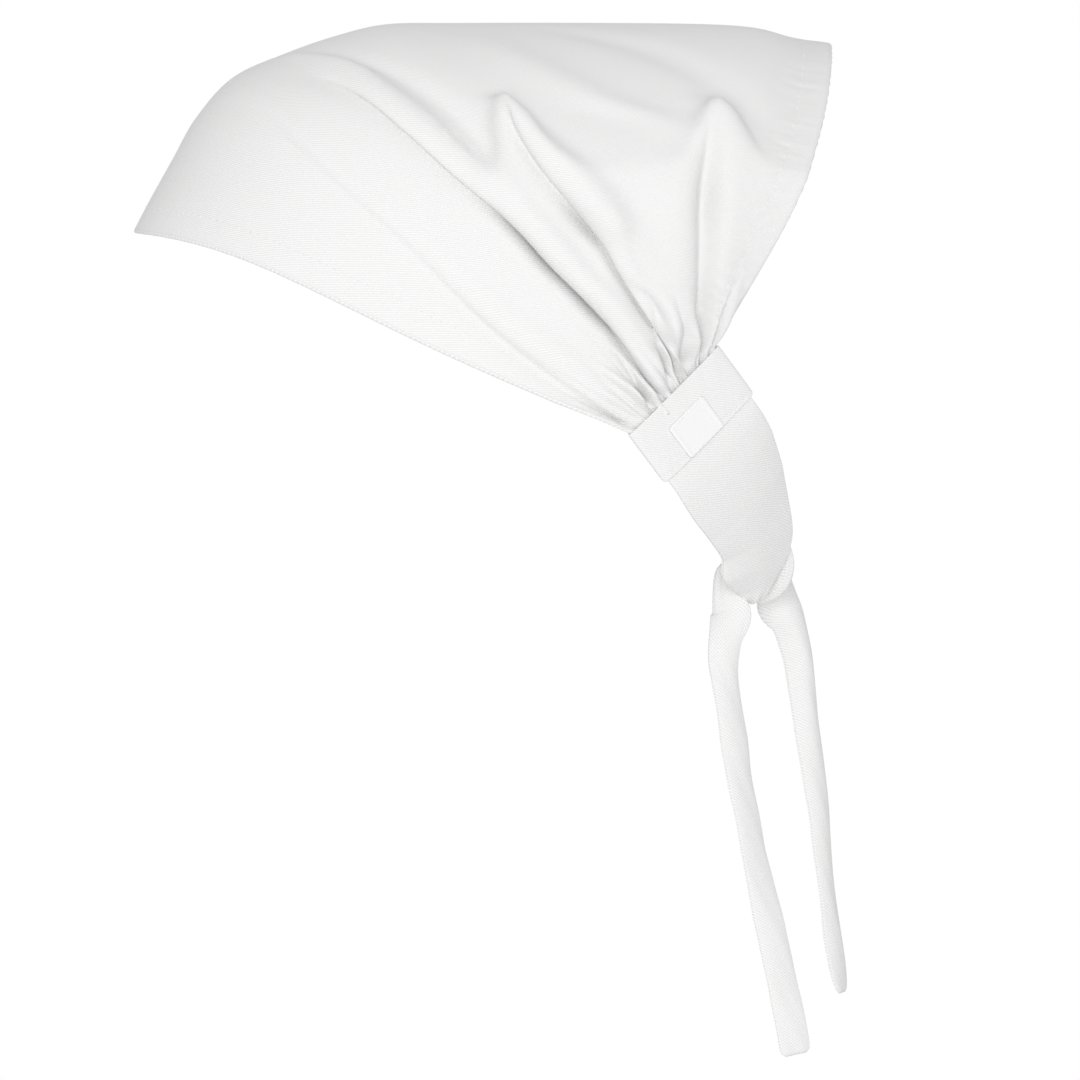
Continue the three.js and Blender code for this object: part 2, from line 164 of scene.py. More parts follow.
@dataclass
class Surface:
    """Points, faces and flat cloth places of one mesh."""

    points: Floats
    faces: list[tuple[int, ...]]
    cloth: Floats

    def put(self, name: str, material: bpy.types.Material) -> bpy.types.Object:
        """Makes the surface a smooth Blender object.

        Args:
            name: The object's name.
            material: The finish that it wears.

        Returns:
            The new object, at the origin.
        """
        mesh = bpy.data.meshes.new(name)
        mesh.from_pydata(self.points, [], self.faces)
        corner = np.empty(len(mesh.loops), np.int32)
        mesh.loops.foreach_get("vertex_index", corner)
        flat = self.cloth[corner].astype(np.float32).ravel()
        mesh.uv_layers.new(name=CLOTH_MAP).data.foreach_set("uv", flat)
        mesh.polygons.foreach_set("use_smooth", np.ones(len(mesh.polygons), bool))
        mesh.materials.append(material)
        mesh.validate()
        mesh.update()
        piece = bpy.data.objects.new(name, mesh)
        bpy.context.scene.collection.objects.link(piece)
        return piece


def loft(rings: Floats, cloth: Floats, ring_closed: bool = False) -> Surface:
    """Joins closed rings of points into one closed surface.

    Each ring is joined to the next by a band of four-sided faces. The ends are closed by one flat face
    each, or the last ring is joined to the first. Faces are turned outward by the sign of the enclosed
    volume.

    Args:
        rings: Points by ring, by place round the ring, by coordinate.
        cloth: Flat cloth places by ring and place round the ring.
        ring_closed: Whether the last ring joins the first.

    Returns:
        The closed surface.
    """
    count, size = rings.shape[:2]
    bands = count if ring_closed else count - 1
    r, i = np.meshgrid(np.arange(bands), np.arange(size), indexing="ij")
    following, beside = (r + 1) % count, (i + 1) % size
    quads = np.stack([r * size + i, r * size + beside, following * size + beside, following * size + i], -1)
    points = rings.reshape(-1, 3)
    a, b, c, d = (points[quads[..., k]] for k in range(4))
    volume = np.einsum("...i,...i", a, np.cross(b, c)).sum() + np.einsum("...i,...i", a, np.cross(c, d)).sum()
    caps: list[tuple[int, ...]] = []
    if not ring_closed:
        first, last = rings[0], rings[-1]
        volume -= np.einsum("ij,ij", first[:1] + 0 * first[2:], np.cross(first[1:-1], first[2:]))
        volume += np.einsum("ij,ij", last[:1] + 0 * last[2:], np.cross(last[1:-1], last[2:]))
        caps = [tuple(range(size - 1, -1, -1)), tuple(range((count - 1) * size, count * size))]
    faces = [tuple(face) for face in quads.reshape(-1, 4).tolist()] + caps
    if volume < 0:
        faces = [face[::-1] for face in faces]
    return Surface(points, faces, cloth.reshape(-1, 2))


# Finishes


class NodeBench:
    """Lays out the nodes of one material."""

    def __init__(self, name: str) -> None:
        """Starts a material with a bare surface shader.

        Args:
            name: The material's name.
        """
        self.material = bpy.data.materials.new(name)
        self.material.use_nodes = True
        self.tree = self.material.node_tree
        self.shader = self.tree.nodes["Principled BSDF"]

    def add(self, kind: str, **values: object) -> bpy.types.Node:
        """Adds a node and sets its own values.

        Args:
            kind: The node's type.
            values: Its settings by name.

        Returns:
            The node.
        """
        node = self.tree.nodes.new(kind)
        for key, value in values.items():
            setattr(node, key, value)
        return node

    def plug(self, source: object, target: bpy.types.NodeSocket) -> None:
        """Links an output to an input, or sets the input to a number.

        Args:
            source: An output or a number.
            target: The input.
        """
        if isinstance(source, bpy.types.NodeSocket):
            self.tree.links.new(source, target)
        else:
            target.default_value = source

    def math(self, operation: str, first: object, second: object = 0.0) -> bpy.types.NodeSocket:
        """A step of arithmetic on two numbers or outputs.

        Args:
            operation: The step's name.
            first: First number or output.
            second: Second number or output.

        Returns:
            The result.
        """
        node = self.add("ShaderNodeMath", operation=operation)
        self.plug(first, node.inputs[0])
        self.plug(second, node.inputs[1])
        return node.outputs[0]

    def wave(self, phase: object, middle: float = 0.5, half: float = 0.5) -> bpy.types.NodeSocket:
        """Sine of a phase in turns, about a middle value."""
        turned = self.math("MULTIPLY", phase, 2 * math.pi)
        return self.math("ADD", self.math("MULTIPLY", self.math("SINE", turned), half), middle)

    def noise(self, vector: bpy.types.NodeSocket, scale: float, detail: float = 2.0) -> bpy.types.NodeSocket:
        """Soft noise between 0 and 1.

        Args:
            vector: Where to read it.
            scale: Its fineness.
            detail: Its layers of finer noise.

        Returns:
            The noise.
        """
        node = self.add("ShaderNodeTexNoise")
        self.plug(vector, node.inputs["Vector"])
        node.inputs["Scale"].default_value = scale
        node.inputs["Detail"].default_value = detail
        return node.outputs["Fac"]

    def blend(self, factor: object, dark: Colour, light: Colour) -> bpy.types.NodeSocket:
        """Colour between two colours. A colour mix has its colours in sockets 6 and 7 and its result in 2.

        Args:
            factor: 0 for dark, 1 for light.
            dark: Colour at 0.
            light: Colour at 1.

        Returns:
            The colour.
        """
        node = self.add("ShaderNodeMix", data_type="RGBA")
        self.plug(factor, node.inputs[0])
        node.inputs[6].default_value = (*dark, 1.0)
        node.inputs[7].default_value = (*light, 1.0)
        return node.outputs[2]

    def bump(
        self, height: bpy.types.NodeSocket, distance: float, under: object = None
    ) -> bpy.types.NodeSocket:
        """Bump of a height between 0 and 1 over a distance in metres.

        Args:
            height: The height.
            distance: Metres that a height of 1 stands for.
            under: Directions of a bump under this one.

        Returns:
            The bumped directions.
        """
        node = self.add("ShaderNodeBump")
        node.inputs["Strength"].default_value = 1.0
        node.inputs["Distance"].default_value = distance
        self.plug(height, node.inputs["Height"])
        if under is not None:
            self.plug(under, node.inputs["Normal"])
        return node.outputs["Normal"]


@dataclass(frozen=True)
class TwillFinish:
    """White cotton twill: slanting ribs of short floats on the flat cloth, with painted shade between the
    ribs, slubs and soft rumples.
    """

    name: str
    rib_pitch: float = 0.00073
    rib_turn: float = 27.0
    rib_height: float = 0.00007
    drift: float = 0.5
    drift_scale: float = 160.0
    float_length: float = 0.0011
    float_step: float = 0.37
    float_dip: float = 0.18
    slub: float = 0.35
    slub_scale: float = 900.0
    rumple: float = 0.00006
    rumple_scale: float = 70.0
    thread: Colour = (0.925, 0.925, 0.922)
    # groove is a painted shade: the colour darkens toward it in the hollows between the ribs
    groove: Colour = (0.80, 0.80, 0.797)
    roughness: float = 0.92
    gloss: float = 0.15
    sheen: float = 0.06
    sheen_roughness: float = 0.5

    def material(self) -> bpy.types.Material:
        """Builds the finish.

        The cloth map is turned by rib_turn, so that one axis crosses the ribs. Rib height is a sine across
        the ribs, which drift a little, and each rib is broken into floats that step along from rib to rib.
        The same rib wave darkens the colour from thread toward groove, a painted shade in the hollows between
        the ribs, and slubs vary the tone at random.

        Returns:
            The material.
        """
        bench = NodeBench(self.name)
        cloth = bench.add("ShaderNodeUVMap", uv_map=CLOTH_MAP).outputs["UV"]
        turned = bench.add("ShaderNodeMapping")
        bench.plug(cloth, turned.inputs["Vector"])
        turned.inputs["Rotation"].default_value = (0.0, 0.0, math.radians(self.rib_turn))
        split = bench.add("ShaderNodeSeparateXYZ")
        bench.plug(turned.outputs["Vector"], split.inputs[0])
        drift = bench.math("MULTIPLY", bench.noise(cloth, self.drift_scale), self.drift)
        across = bench.math("ADD", bench.math("DIVIDE", split.outputs["Y"], self.rib_pitch), drift)
        step = bench.math("MULTIPLY", bench.math("FLOOR", across), self.float_step)
        along = bench.math("ADD", bench.math("DIVIDE", split.outputs["X"], self.float_length), step)
        floats = bench.wave(along, 1 - self.float_dip, self.float_dip)
        broken = bench.math("MULTIPLY", bench.wave(across), floats)
        slub = bench.math("SUBTRACT", bench.noise(cloth, self.slub_scale, 3.0), 0.5)
        tone = bench.math("ADD", broken, bench.math("MULTIPLY", slub, self.slub))
        # painted shade: the rib hollows darken toward the groove colour, and slubs add random tone
        bench.plug(bench.blend(tone, self.groove, self.thread), bench.shader.inputs["Base Color"])
        soft = bench.bump(bench.noise(cloth, self.rumple_scale, 4.0), self.rumple)
        bench.plug(bench.bump(broken, self.rib_height, soft), bench.shader.inputs["Normal"])
        bench.shader.inputs["Roughness"].default_value = self.roughness
        bench.shader.inputs["Specular IOR Level"].default_value = self.gloss
        bench.shader.inputs["Sheen Weight"].default_value = self.sheen
        bench.shader.inputs["Sheen Roughness"].default_value = self.sheen_roughness
        return bench.material


@dataclass(frozen=True)
class ThreadFinish:
    """White sewing thread with a fine twist along it."""

    name: str = "sewing_thread"
    colour: Colour = (0.93, 0.93, 0.925)
    # painted shade: the darker colour between the plies of the twist
    painted_shade: Colour = (0.9, 0.9, 0.895)
    twist: float = 0.00035
    ply_height: float = 0.000035
    roughness: float = 0.6

    def material(self) -> bpy.types.Material:
        """Builds the finish: slanting plies drawn by a sine along and round the thread, the colour darkened
        toward a painted shade between the plies.

        Returns:
            The material.
        """
        bench = NodeBench(self.name)
        cloth = bench.add("ShaderNodeUVMap", uv_map=CLOTH_MAP).outputs["UV"]
        split = bench.add("ShaderNodeSeparateXYZ")
        bench.plug(cloth, split.inputs[0])
        phase = bench.math("ADD", bench.math("DIVIDE", split.outputs["X"], self.twist), split.outputs["Y"])
        ply = bench.wave(phase)
        bench.plug(bench.blend(ply, self.painted_shade, self.colour), bench.shader.inputs["Base Color"])
        bench.plug(bench.bump(ply, self.ply_height), bench.shader.inputs["Normal"])
        bench.shader.inputs["Roughness"].default_value = self.roughness
        return bench.material


@dataclass(frozen=True)
class LabelFinish:
    """Bright bare woven label with fine cross ribs."""

    name: str = "woven_label"
    rib_pitch: float = 0.00032
    cross_pitch: float = 0.000256
    weave_height: float = 0.00004
    ground: Colour = (0.94, 0.94, 0.94)
    # painted shade: the darker colour in the hollows of the weave
    painted_shade: Colour = (0.87, 0.87, 0.87)
    roughness: float = 0.75

    def material(self) -> bpy.types.Material:
        """Builds the finish: the mean of a sine along and a sine across the label darkens its colour toward a
        painted shade in the hollows of the weave, and raises it.

        Returns:
            The material.
        """
        bench = NodeBench(self.name)
        cloth = bench.add("ShaderNodeUVMap", uv_map=CLOTH_MAP).outputs["UV"]
        split = bench.add("ShaderNodeSeparateXYZ")
        bench.plug(cloth, split.inputs[0])
        rib = bench.wave(bench.math("DIVIDE", split.outputs["Y"], self.rib_pitch))
        cross = bench.wave(bench.math("DIVIDE", split.outputs["X"], self.cross_pitch))
        weave = bench.math("MULTIPLY", bench.math("ADD", rib, cross), 0.5)
        bench.plug(bench.blend(weave, self.painted_shade, self.ground), bench.shader.inputs["Base Color"])
        bench.plug(bench.bump(weave, self.weave_height), bench.shader.inputs["Normal"])
        bench.shader.inputs["Roughness"].default_value = self.roughness
        return bench.material


# Sewing


@dataclass
class StitchRow:
    """Machine stitches laid along a line on the cloth."""

    length: float = 0.0021
    pitch: float = 0.0027
    radius: float = 0.00019
    sink: float = 0.00022
    lift: float = 0.6
    taper: float = 0.94
    stations: int = 5
    around: int = 6

    def along(self, path: Floats, normals: Floats) -> Surface:
        """Lays stitches along a path.

        Each stitch is a spindle: circles whose radius follows a half circle along it, the ends sinking into
        the cloth by the square of their distance from the middle.

        Args:
            path: Points along the line, on the cloth.
            normals: The cloth's outward directions there.

        Returns:
            All the stitches as one surface.
        """
        run = run_length(path, 0)
        count = max(1, int(run[-1] // self.pitch))
        middles = (np.arange(count) + 0.5) * run[-1] / count
        t = np.linspace(-self.taper, self.taper, self.stations)
        at = middles[:, None] + t * self.length / 2
        line = np.stack([np.interp(at, run, path[:, k]) for k in range(3)], -1)
        normal = unit(np.stack([np.interp(at, run, normals[:, k]) for k in range(3)], -1))
        way = unit(np.gradient(line, axis=1))
        side = unit(np.cross(way, normal))
        line = line + normal * (self.radius * self.lift - self.sink * t[:, None] ** 2)
        angle = np.arange(self.around) / self.around * 2 * math.pi
        radius = self.radius * np.sqrt(1 - t**2)[None, :, None, None]
        ring = np.cos(angle)[:, None] * side[:, :, None] + np.sin(angle)[:, None] * normal[:, :, None]
        points = line[:, :, None] + radius * ring
        cloth = np.stack(np.broadcast_arrays(at[:, :, None], (angle / (2 * math.pi))[None, None]), -1)
        block = loft(points[0], cloth[0])
        shift = points.shape[1] * points.shape[2]
        faces = [tuple(k + n * shift for k in face) for n in range(count) for face in block.faces]
        return Surface(points.reshape(-1, 3), faces, cloth.reshape(-1, 2))


def gather_surfaces(parts: list[Surface]) -> Surface:
    """Makes several surfaces one.

    Args:
        parts: The surfaces.

    Returns:
        One surface of all their points and faces.
    """
    offsets = np.cumsum([0] + [len(part.points) for part in parts])
    faces = [
        tuple(k + int(start) for k in face) for part, start in zip(parts, offsets) for face in part.faces
    ]
    points = np.concatenate([part.points for part in parts])
    return Surface(points, faces, np.concatenate([part.cloth for part in parts]))


# The gathered seam that the crown, the cuff and the tie share


@dataclass(frozen=True)
class SeamFrame:
    """The gathered seam on the wearer's left, and the cuff's own directions."""

    length: float = 0.0405
    side: float = 0.061
    back: float = 0.06925
    drop: float = 0.1119
    turn: float = 29.6
    tilt: float = 40.7

    @property
    def outward(self) -> Floats:
        """Way that the cuff faces."""
        return np.array([math.cos(math.radians(self.turn)), math.sin(math.radians(self.turn)), 0.0])

    @property
    def level(self) -> Floats:
        """Level way across the cuff, from front to back."""
        return np.array([-self.outward[1], self.outward[0], 0.0])

    @property
    def along(self) -> Floats:
        """Way along the seam, from front to back."""
        return self.level * math.cos(math.radians(self.tilt)) + UP * math.sin(math.radians(self.tilt))

    @property
    def down(self) -> Floats:
        """Way down the cuff, away from the crown."""
        return self.level * math.sin(math.radians(self.tilt)) - UP * math.cos(math.radians(self.tilt))

    def point(self, share: Floats | float, drop: Floats | float, out: Floats | float) -> Floats:
        """Points by their share along the seam, and metres down and outward.

        Args:
            share: Share of the seam's length from its middle.
            drop: Metres down the cuff.
            out: Metres outward.

        Returns:
            The points.
        """
        share, drop, out = np.broadcast_arrays(share, drop, out)
        middle = np.array([self.side, self.back, -self.drop])
        return (
            middle
            + share[..., None] * self.length * self.along
            + drop[..., None] * self.down
            + out[..., None] * self.outward
        )


# Crown


@dataclass(frozen=True)
class Fold:
    """A long fold of the crown, followed from the seam upward.

    Each row gives a reach, the fold's place there, its depth as a share of the fold style's depth (a ridge is
    negative) and its breadth as a share of the style's breadth. The bank is the height of the swell on one
    side of the fold as a share of its depth, the lean is how far the bank hangs over the fold as a share of
    its breadth, and bank_side says whether the bank is toward the back hem (1) or the front hem (-1).
    """

    rows: Rows
    bank: float = 0.0
    lean: float = 0.0
    bank_side: int = 1


# the rows of every fold: reach, place, share of the fold depth, share of the fold breadth
LEFT_FOLDS = (
    # fine crease across the front
    Fold(
        rows=(
            (0.0, 0.062, 0.30, 0.18), (0.07, 0.078, 0.42, 0.26), (0.13, 0.09, 0.42, 0.34),
            (0.23, 0.114, 0.34, 0.36), (0.33, 0.141, 0.24, 0.32), (0.41, 0.16, 0.15, 0.26),
            (0.57, 0.175, 0.12, 0.22), (0.65, 0.186, 0.12, 0.24), (0.73, 0.197, 0.10, 0.26),
            (0.81, 0.197, 0.06, 0.30), (0.9, 0.19, 0.0, 0.30),
        ),
        bank=0.9, lean=0.5,
    ),
    # deep slot that opens into the long valley under the first great ridge
    Fold(
        rows=(
            (0.0, 0.385, 0.7, 0.14), (0.03, 0.395, 1.0, 0.17), (0.07, 0.41, 1.15, 0.20),
            (0.13, 0.415, 1.3, 0.25), (0.19, 0.402, 1.6, 0.30), (0.24, 0.386, 1.4, 0.27),
            (0.28, 0.377, 1.6, 0.30), (0.34, 0.37, 1.4, 0.30), (0.39, 0.36, 0.9, 0.32),
            (0.43, 0.35, 0.5, 0.42), (0.48, 0.34, 0.36, 0.50), (0.58, 0.33, 0.30, 0.55),
            (0.68, 0.319, 0.24, 0.55), (0.76, 0.297, 0.14, 0.5), (0.84, 0.285, 0.0, 0.5),
        ),
        bank=0.45, lean=1.2,
    ),
    # first great ridge, up to its end near the top
    Fold(
        rows=(
            (0.36, 0.41, 0.0, 0.5), (0.42, 0.4, -0.22, 0.5), (0.52, 0.382, -0.34, 0.5),
            (0.64, 0.366, -0.34, 0.5), (0.72, 0.36, -0.34, 0.46), (0.8, 0.343, -0.3, 0.42),
            (0.87, 0.315, -0.2, 0.4), (0.93, 0.295, 0.0, 0.4),
        ),
    ),
    # hollow behind the first great ridge, with its round lower end
    Fold(
        rows=(
            (0.44, 0.405, 0.0, 0.5), (0.49, 0.412, 0.4, 0.5), (0.53, 0.412, 0.46, 0.5),
            (0.58, 0.41, 0.4, 0.5), (0.64, 0.402, 0.34, 0.5), (0.74, 0.378, 0.28, 0.45),
            (0.82, 0.345, 0.2, 0.4), (0.9, 0.32, 0.0, 0.4),
        ),
    ),
    # second great ridge with its round upper end
    Fold(
        rows=(
            (0.0, 0.66, 0.0, 0.3), (0.12, 0.655, -0.16, 0.4), (0.24, 0.625, -0.3, 0.5),
            (0.33, 0.585, -0.4, 0.5), (0.4, 0.55, -0.5, 0.5), (0.46, 0.525, -0.6, 0.48),
            (0.52, 0.508, -0.66, 0.46), (0.57, 0.499, -0.6, 0.44), (0.615, 0.493, 0.0, 0.44),
        ),
    ),
    # crease in front of the second great ridge
    Fold(
        rows=(
            (0.0, 0.632, 0.7, 0.12), (0.03, 0.615, 0.8, 0.14), (0.09, 0.587, 0.8, 0.16),
            (0.15, 0.556, 0.75, 0.17), (0.23, 0.535, 0.75, 0.2), (0.275, 0.532, 0.85, 0.24),
            (0.31, 0.523, 1.45, 0.34), (0.345, 0.512, 1.35, 0.4), (0.385, 0.5, 0.7, 0.42),
            (0.43, 0.487, 0.5, 0.36), (0.49, 0.483, 0.4, 0.28), (0.54, 0.487, 0.2, 0.22),
            (0.57, 0.49, 0.0, 0.2),
        ),
        bank=0.5, lean=1.0,
    ),
    # short crease beside it
    Fold(
        rows=(
            (0.0, 0.69, 0.7, 0.12), (0.03, 0.672, 0.9, 0.14), (0.095, 0.618, 0.8, 0.16),
            (0.135, 0.612, 0.7, 0.17), (0.17, 0.597, 0.5, 0.17), (0.2, 0.572, 0.25, 0.16),
            (0.23, 0.552, 0.0, 0.15),
        ),
        bank=0.5, lean=0.5,
    ),
    # upright sharp edge and the hollow behind it
    Fold(
        rows=(
            (0.0, 0.8, 0.8, 0.26), (0.05, 0.806, 1.2, 0.34), (0.1, 0.802, 1.3, 0.40),
            (0.18, 0.792, 1.05, 0.42), (0.26, 0.787, 1.05, 0.44), (0.33, 0.787, 1.35, 0.44),
            (0.39, 0.792, 0.95, 0.44), (0.45, 0.802, 0.5, 0.38), (0.53, 0.815, 0.0, 0.3),
        ),
        bank=0.3, lean=0.5, bank_side=-1,
    ),
    # third great ridge with its round upper end
    Fold(
        rows=(
            (0.0, 0.85, -0.1, 0.4), (0.13, 0.845, -0.2, 0.5), (0.26, 0.84, -0.24, 0.6),
            (0.38, 0.838, -0.3, 0.7), (0.47, 0.833, -0.5, 0.75), (0.53, 0.828, -0.6, 0.7),
            (0.6, 0.822, 0.0, 0.65),
        ),
    ),
    # low pleats near the front end of the seam
    Fold(
        rows=(
            (0.0, 0.19, 0.8, 0.14), (0.042, 0.195, 0.8, 0.16), (0.07, 0.2, 0.6, 0.18),
            (0.095, 0.195, 0.35, 0.2), (0.14, 0.165, 0.0, 0.2),
        ),
        bank=0.6, lean=0.4,
    ),
    Fold(
        rows=(
            (0.0, 0.27, 0.8, 0.13), (0.05, 0.335, 0.8, 0.16), (0.088, 0.353, 0.6, 0.18),
            (0.12, 0.348, 0.35, 0.2), (0.165, 0.325, 0.0, 0.2),
        ),
        bank=0.6, lean=0.5,
    ),
    Fold(
        rows=(
            (0.0, 0.112, 0.5, 0.12), (0.04, 0.125, 0.35, 0.14), (0.08, 0.135, 0.0, 0.14),
        ),
        bank=0.5,
    ),
    # short pleats along the seam
    Fold(
        rows=(
            (0.0, 0.262, 0.6, 0.11), (0.03, 0.285, 0.45, 0.12), (0.06, 0.3, 0.0, 0.12),
        ),
        bank=0.4,
    ),
    Fold(
        rows=(
            (0.0, 0.5, 0.8, 0.11), (0.03, 0.522, 0.7, 0.13), (0.07, 0.53, 0.0, 0.13),
        ),
        bank=0.4,
    ),
    Fold(
        rows=(
            (0.0, 0.59, 0.8, 0.12), (0.03, 0.572, 0.9, 0.14), (0.07, 0.55, 0.6, 0.15),
            (0.1, 0.535, 0.0, 0.15),
        ),
        bank=0.4,
    ),
    Fold(
        rows=(
            (0.0, 0.725, 0.9, 0.14), (0.025, 0.712, 1.1, 0.18), (0.07, 0.686, 0.8, 0.2),
            (0.11, 0.67, 0.0, 0.2),
        ),
        bank=0.4,
    ),
    # soft ridge and soft hollow that cross the top
    Fold(
        rows=(
            (0.45, 0.76, 0.0, 0.8), (0.51, 0.73, -0.25, 0.8), (0.575, 0.65, -0.35, 0.9),
            (0.64, 0.61, -0.35, 0.9), (0.72, 0.575, -0.25, 0.9), (0.85, 0.53, 0.0, 0.9),
        ),
    ),
    Fold(
        rows=(
            (0.45, 0.9, 0.0, 0.8), (0.505, 0.89, 0.2, 0.8), (0.575, 0.865, 0.28, 0.8),
            (0.667, 0.815, 0.28, 0.9), (0.78, 0.735, 0.25, 0.9), (0.9, 0.62, 0.0, 0.9),
        ),
    ),
)


# place, reach of the edge where the side of the crown turns over into its flatter top
LEFT_LEDGE: Rows = (
    (0.0, 1.15), (0.26, 1.1), (0.3, 0.92), (0.345, 0.8), (0.36, 0.733), (0.375, 0.658),
    (0.388, 0.579), (0.4, 0.47), (0.425, 0.483), (0.455, 0.538), (0.48, 0.575), (0.5, 0.592),
    (0.513, 0.57), (0.525, 0.483), (0.545, 0.447), (0.575, 0.425), (0.64, 0.408), (0.705, 0.404),
    (0.75, 0.429), (0.77, 0.475), (0.795, 0.517), (0.825, 0.554), (0.85, 0.533), (0.87, 0.492),
    (0.89, 0.45), (0.915, 0.425), (0.96, 0.417), (1.0, 0.42),
)


RIGHT_FOLDS = (
    # fine crease across the front
    Fold(
        rows=(
            (0.0, 0.085, 0.30, 0.18), (0.08, 0.1, 0.4, 0.28), (0.18, 0.12, 0.38, 0.34),
            (0.3, 0.148, 0.24, 0.32), (0.45, 0.17, 0.14, 0.24), (0.6, 0.182, 0.12, 0.24),
            (0.74, 0.19, 0.08, 0.28), (0.86, 0.185, 0.0, 0.30),
        ),
        bank=0.9, lean=0.5,
    ),
    # deep slot that opens into the long valley under the first great ridge
    Fold(
        rows=(
            (0.0, 0.36, 0.5, 0.12), (0.04, 0.372, 0.75, 0.14), (0.1, 0.385, 0.95, 0.17),
            (0.18, 0.38, 1.1, 0.21), (0.25, 0.362, 1.15, 0.25), (0.32, 0.35, 0.9, 0.29),
            (0.38, 0.34, 0.55, 0.36), (0.46, 0.326, 0.36, 0.48), (0.58, 0.312, 0.3, 0.54),
            (0.7, 0.3, 0.2, 0.54), (0.8, 0.286, 0.0, 0.5),
        ),
        bank=0.55, lean=1.1,
    ),
    # first great ridge, up to its end near the top
    Fold(
        rows=(
            (0.34, 0.39, 0.0, 0.5), (0.42, 0.378, -0.24, 0.5), (0.54, 0.36, -0.34, 0.5),
            (0.66, 0.345, -0.34, 0.5), (0.76, 0.33, -0.28, 0.44), (0.88, 0.3, 0.0, 0.4),
        ),
    ),
    # hollow behind the first great ridge, with its round lower end
    Fold(
        rows=(
            (0.42, 0.385, 0.0, 0.5), (0.48, 0.394, 0.4, 0.5), (0.55, 0.394, 0.44, 0.5),
            (0.63, 0.386, 0.36, 0.5), (0.74, 0.365, 0.26, 0.45), (0.86, 0.33, 0.0, 0.4),
        ),
    ),
    # second great ridge with its round upper end
    Fold(
        rows=(
            (0.0, 0.62, 0.0, 0.3), (0.12, 0.615, -0.16, 0.4), (0.24, 0.59, -0.3, 0.5),
            (0.34, 0.555, -0.42, 0.5), (0.42, 0.525, -0.55, 0.5), (0.49, 0.506, -0.62, 0.46),
            (0.55, 0.495, -0.5, 0.44), (0.6, 0.488, 0.0, 0.44),
        ),
    ),
    # crease in front of the second great ridge
    Fold(
        rows=(
            (0.0, 0.6, 0.4, 0.1), (0.04, 0.58, 0.5, 0.12), (0.1, 0.555, 0.55, 0.14),
            (0.17, 0.53, 0.58, 0.16), (0.25, 0.512, 0.72, 0.2), (0.31, 0.504, 0.85, 0.27),
            (0.36, 0.494, 0.7, 0.36), (0.42, 0.474, 0.36, 0.4), (0.5, 0.45, 0.0, 0.34),
        ),
        bank=0.5, lean=0.9,
    ),
    # short crease beside it
    Fold(
        rows=(
            (0.0, 0.69, 0.4, 0.1), (0.04, 0.664, 0.5, 0.12), (0.1, 0.622, 0.48, 0.14),
            (0.16, 0.6, 0.3, 0.15), (0.22, 0.575, 0.0, 0.15),
        ),
        bank=0.5, lean=0.7,
    ),
    # upright sharp edge and the hollow behind it
    Fold(
        rows=(
            (0.0, 0.77, 0.6, 0.22), (0.06, 0.772, 0.7, 0.28), (0.16, 0.775, 0.55, 0.38),
            (0.27, 0.778, 0.5, 0.44), (0.36, 0.785, 0.55, 0.44), (0.42, 0.795, 0.4, 0.42),
            (0.48, 0.805, 0.2, 0.36), (0.53, 0.815, 0.0, 0.3),
        ),
        bank=0.45, lean=0.9, bank_side=-1,
    ),
    # third great ridge with its round upper end
    Fold(
        rows=(
            (0.0, 0.84, -0.1, 0.4), (0.14, 0.838, -0.2, 0.5), (0.28, 0.83, -0.26, 0.6),
            (0.4, 0.826, -0.36, 0.7), (0.5, 0.822, -0.56, 0.72), (0.58, 0.815, 0.0, 0.65),
        ),
    ),
    # pleats along the seam
    Fold(
        rows=(
            (0.0, 0.22, 0.4, 0.13), (0.05, 0.225, 0.42, 0.16), (0.09, 0.215, 0.25, 0.17),
            (0.13, 0.19, 0.0, 0.2),
        ),
        bank=0.6, lean=0.4,
    ),
    Fold(
        rows=(
            (0.0, 0.29, 0.42, 0.12), (0.05, 0.33, 0.5, 0.15), (0.09, 0.345, 0.36, 0.17),
            (0.15, 0.33, 0.0, 0.2),
        ),
        bank=0.6, lean=0.5,
    ),
    Fold(
        rows=(
            (0.0, 0.5, 0.4, 0.1), (0.03, 0.515, 0.36, 0.12), (0.07, 0.52, 0.0, 0.12),
        ),
        bank=0.4,
    ),
    Fold(
        rows=(
            (0.0, 0.73, 0.5, 0.13), (0.03, 0.72, 0.6, 0.15), (0.08, 0.7, 0.4, 0.16),
            (0.12, 0.69, 0.0, 0.16),
        ),
        bank=0.4,
    ),
    # broad hollow that crosses the top
    Fold(
        rows=(
            (0.44, 0.66, 0.0, 0.9), (0.54, 0.62, 0.22, 0.9), (0.66, 0.55, 0.3, 0.9),
            (0.78, 0.48, 0.24, 0.9), (0.92, 0.42, 0.0, 0.9),
        ),
    ),
)

RIGHT_LEDGE: Rows = (
    (0.0, 1.15), (0.25, 1.1), (0.28, 0.92), (0.325, 0.78), (0.35, 0.68), (0.37, 0.56),
    (0.385, 0.46), (0.41, 0.48), (0.44, 0.53), (0.47, 0.572), (0.492, 0.58), (0.507, 0.54),
    (0.52, 0.48), (0.55, 0.43), (0.61, 0.412), (0.69, 0.41), (0.745, 0.435), (0.77, 0.485),
    (0.8, 0.532), (0.825, 0.54), (0.85, 0.51), (0.88, 0.455), (0.92, 0.42), (1.0, 0.42),
)


@dataclass(frozen=True)
class HalfShape:
    """Folds of one half of the crown, the edge of its flatter top, and the seed of its small gathers."""

    folds: tuple[Fold, ...]
    ledge: Rows
    seed: float


LEFT_HALF = HalfShape(LEFT_FOLDS, LEFT_LEDGE, 1.0)
RIGHT_HALF = HalfShape(RIGHT_FOLDS, RIGHT_LEDGE, 5.0)


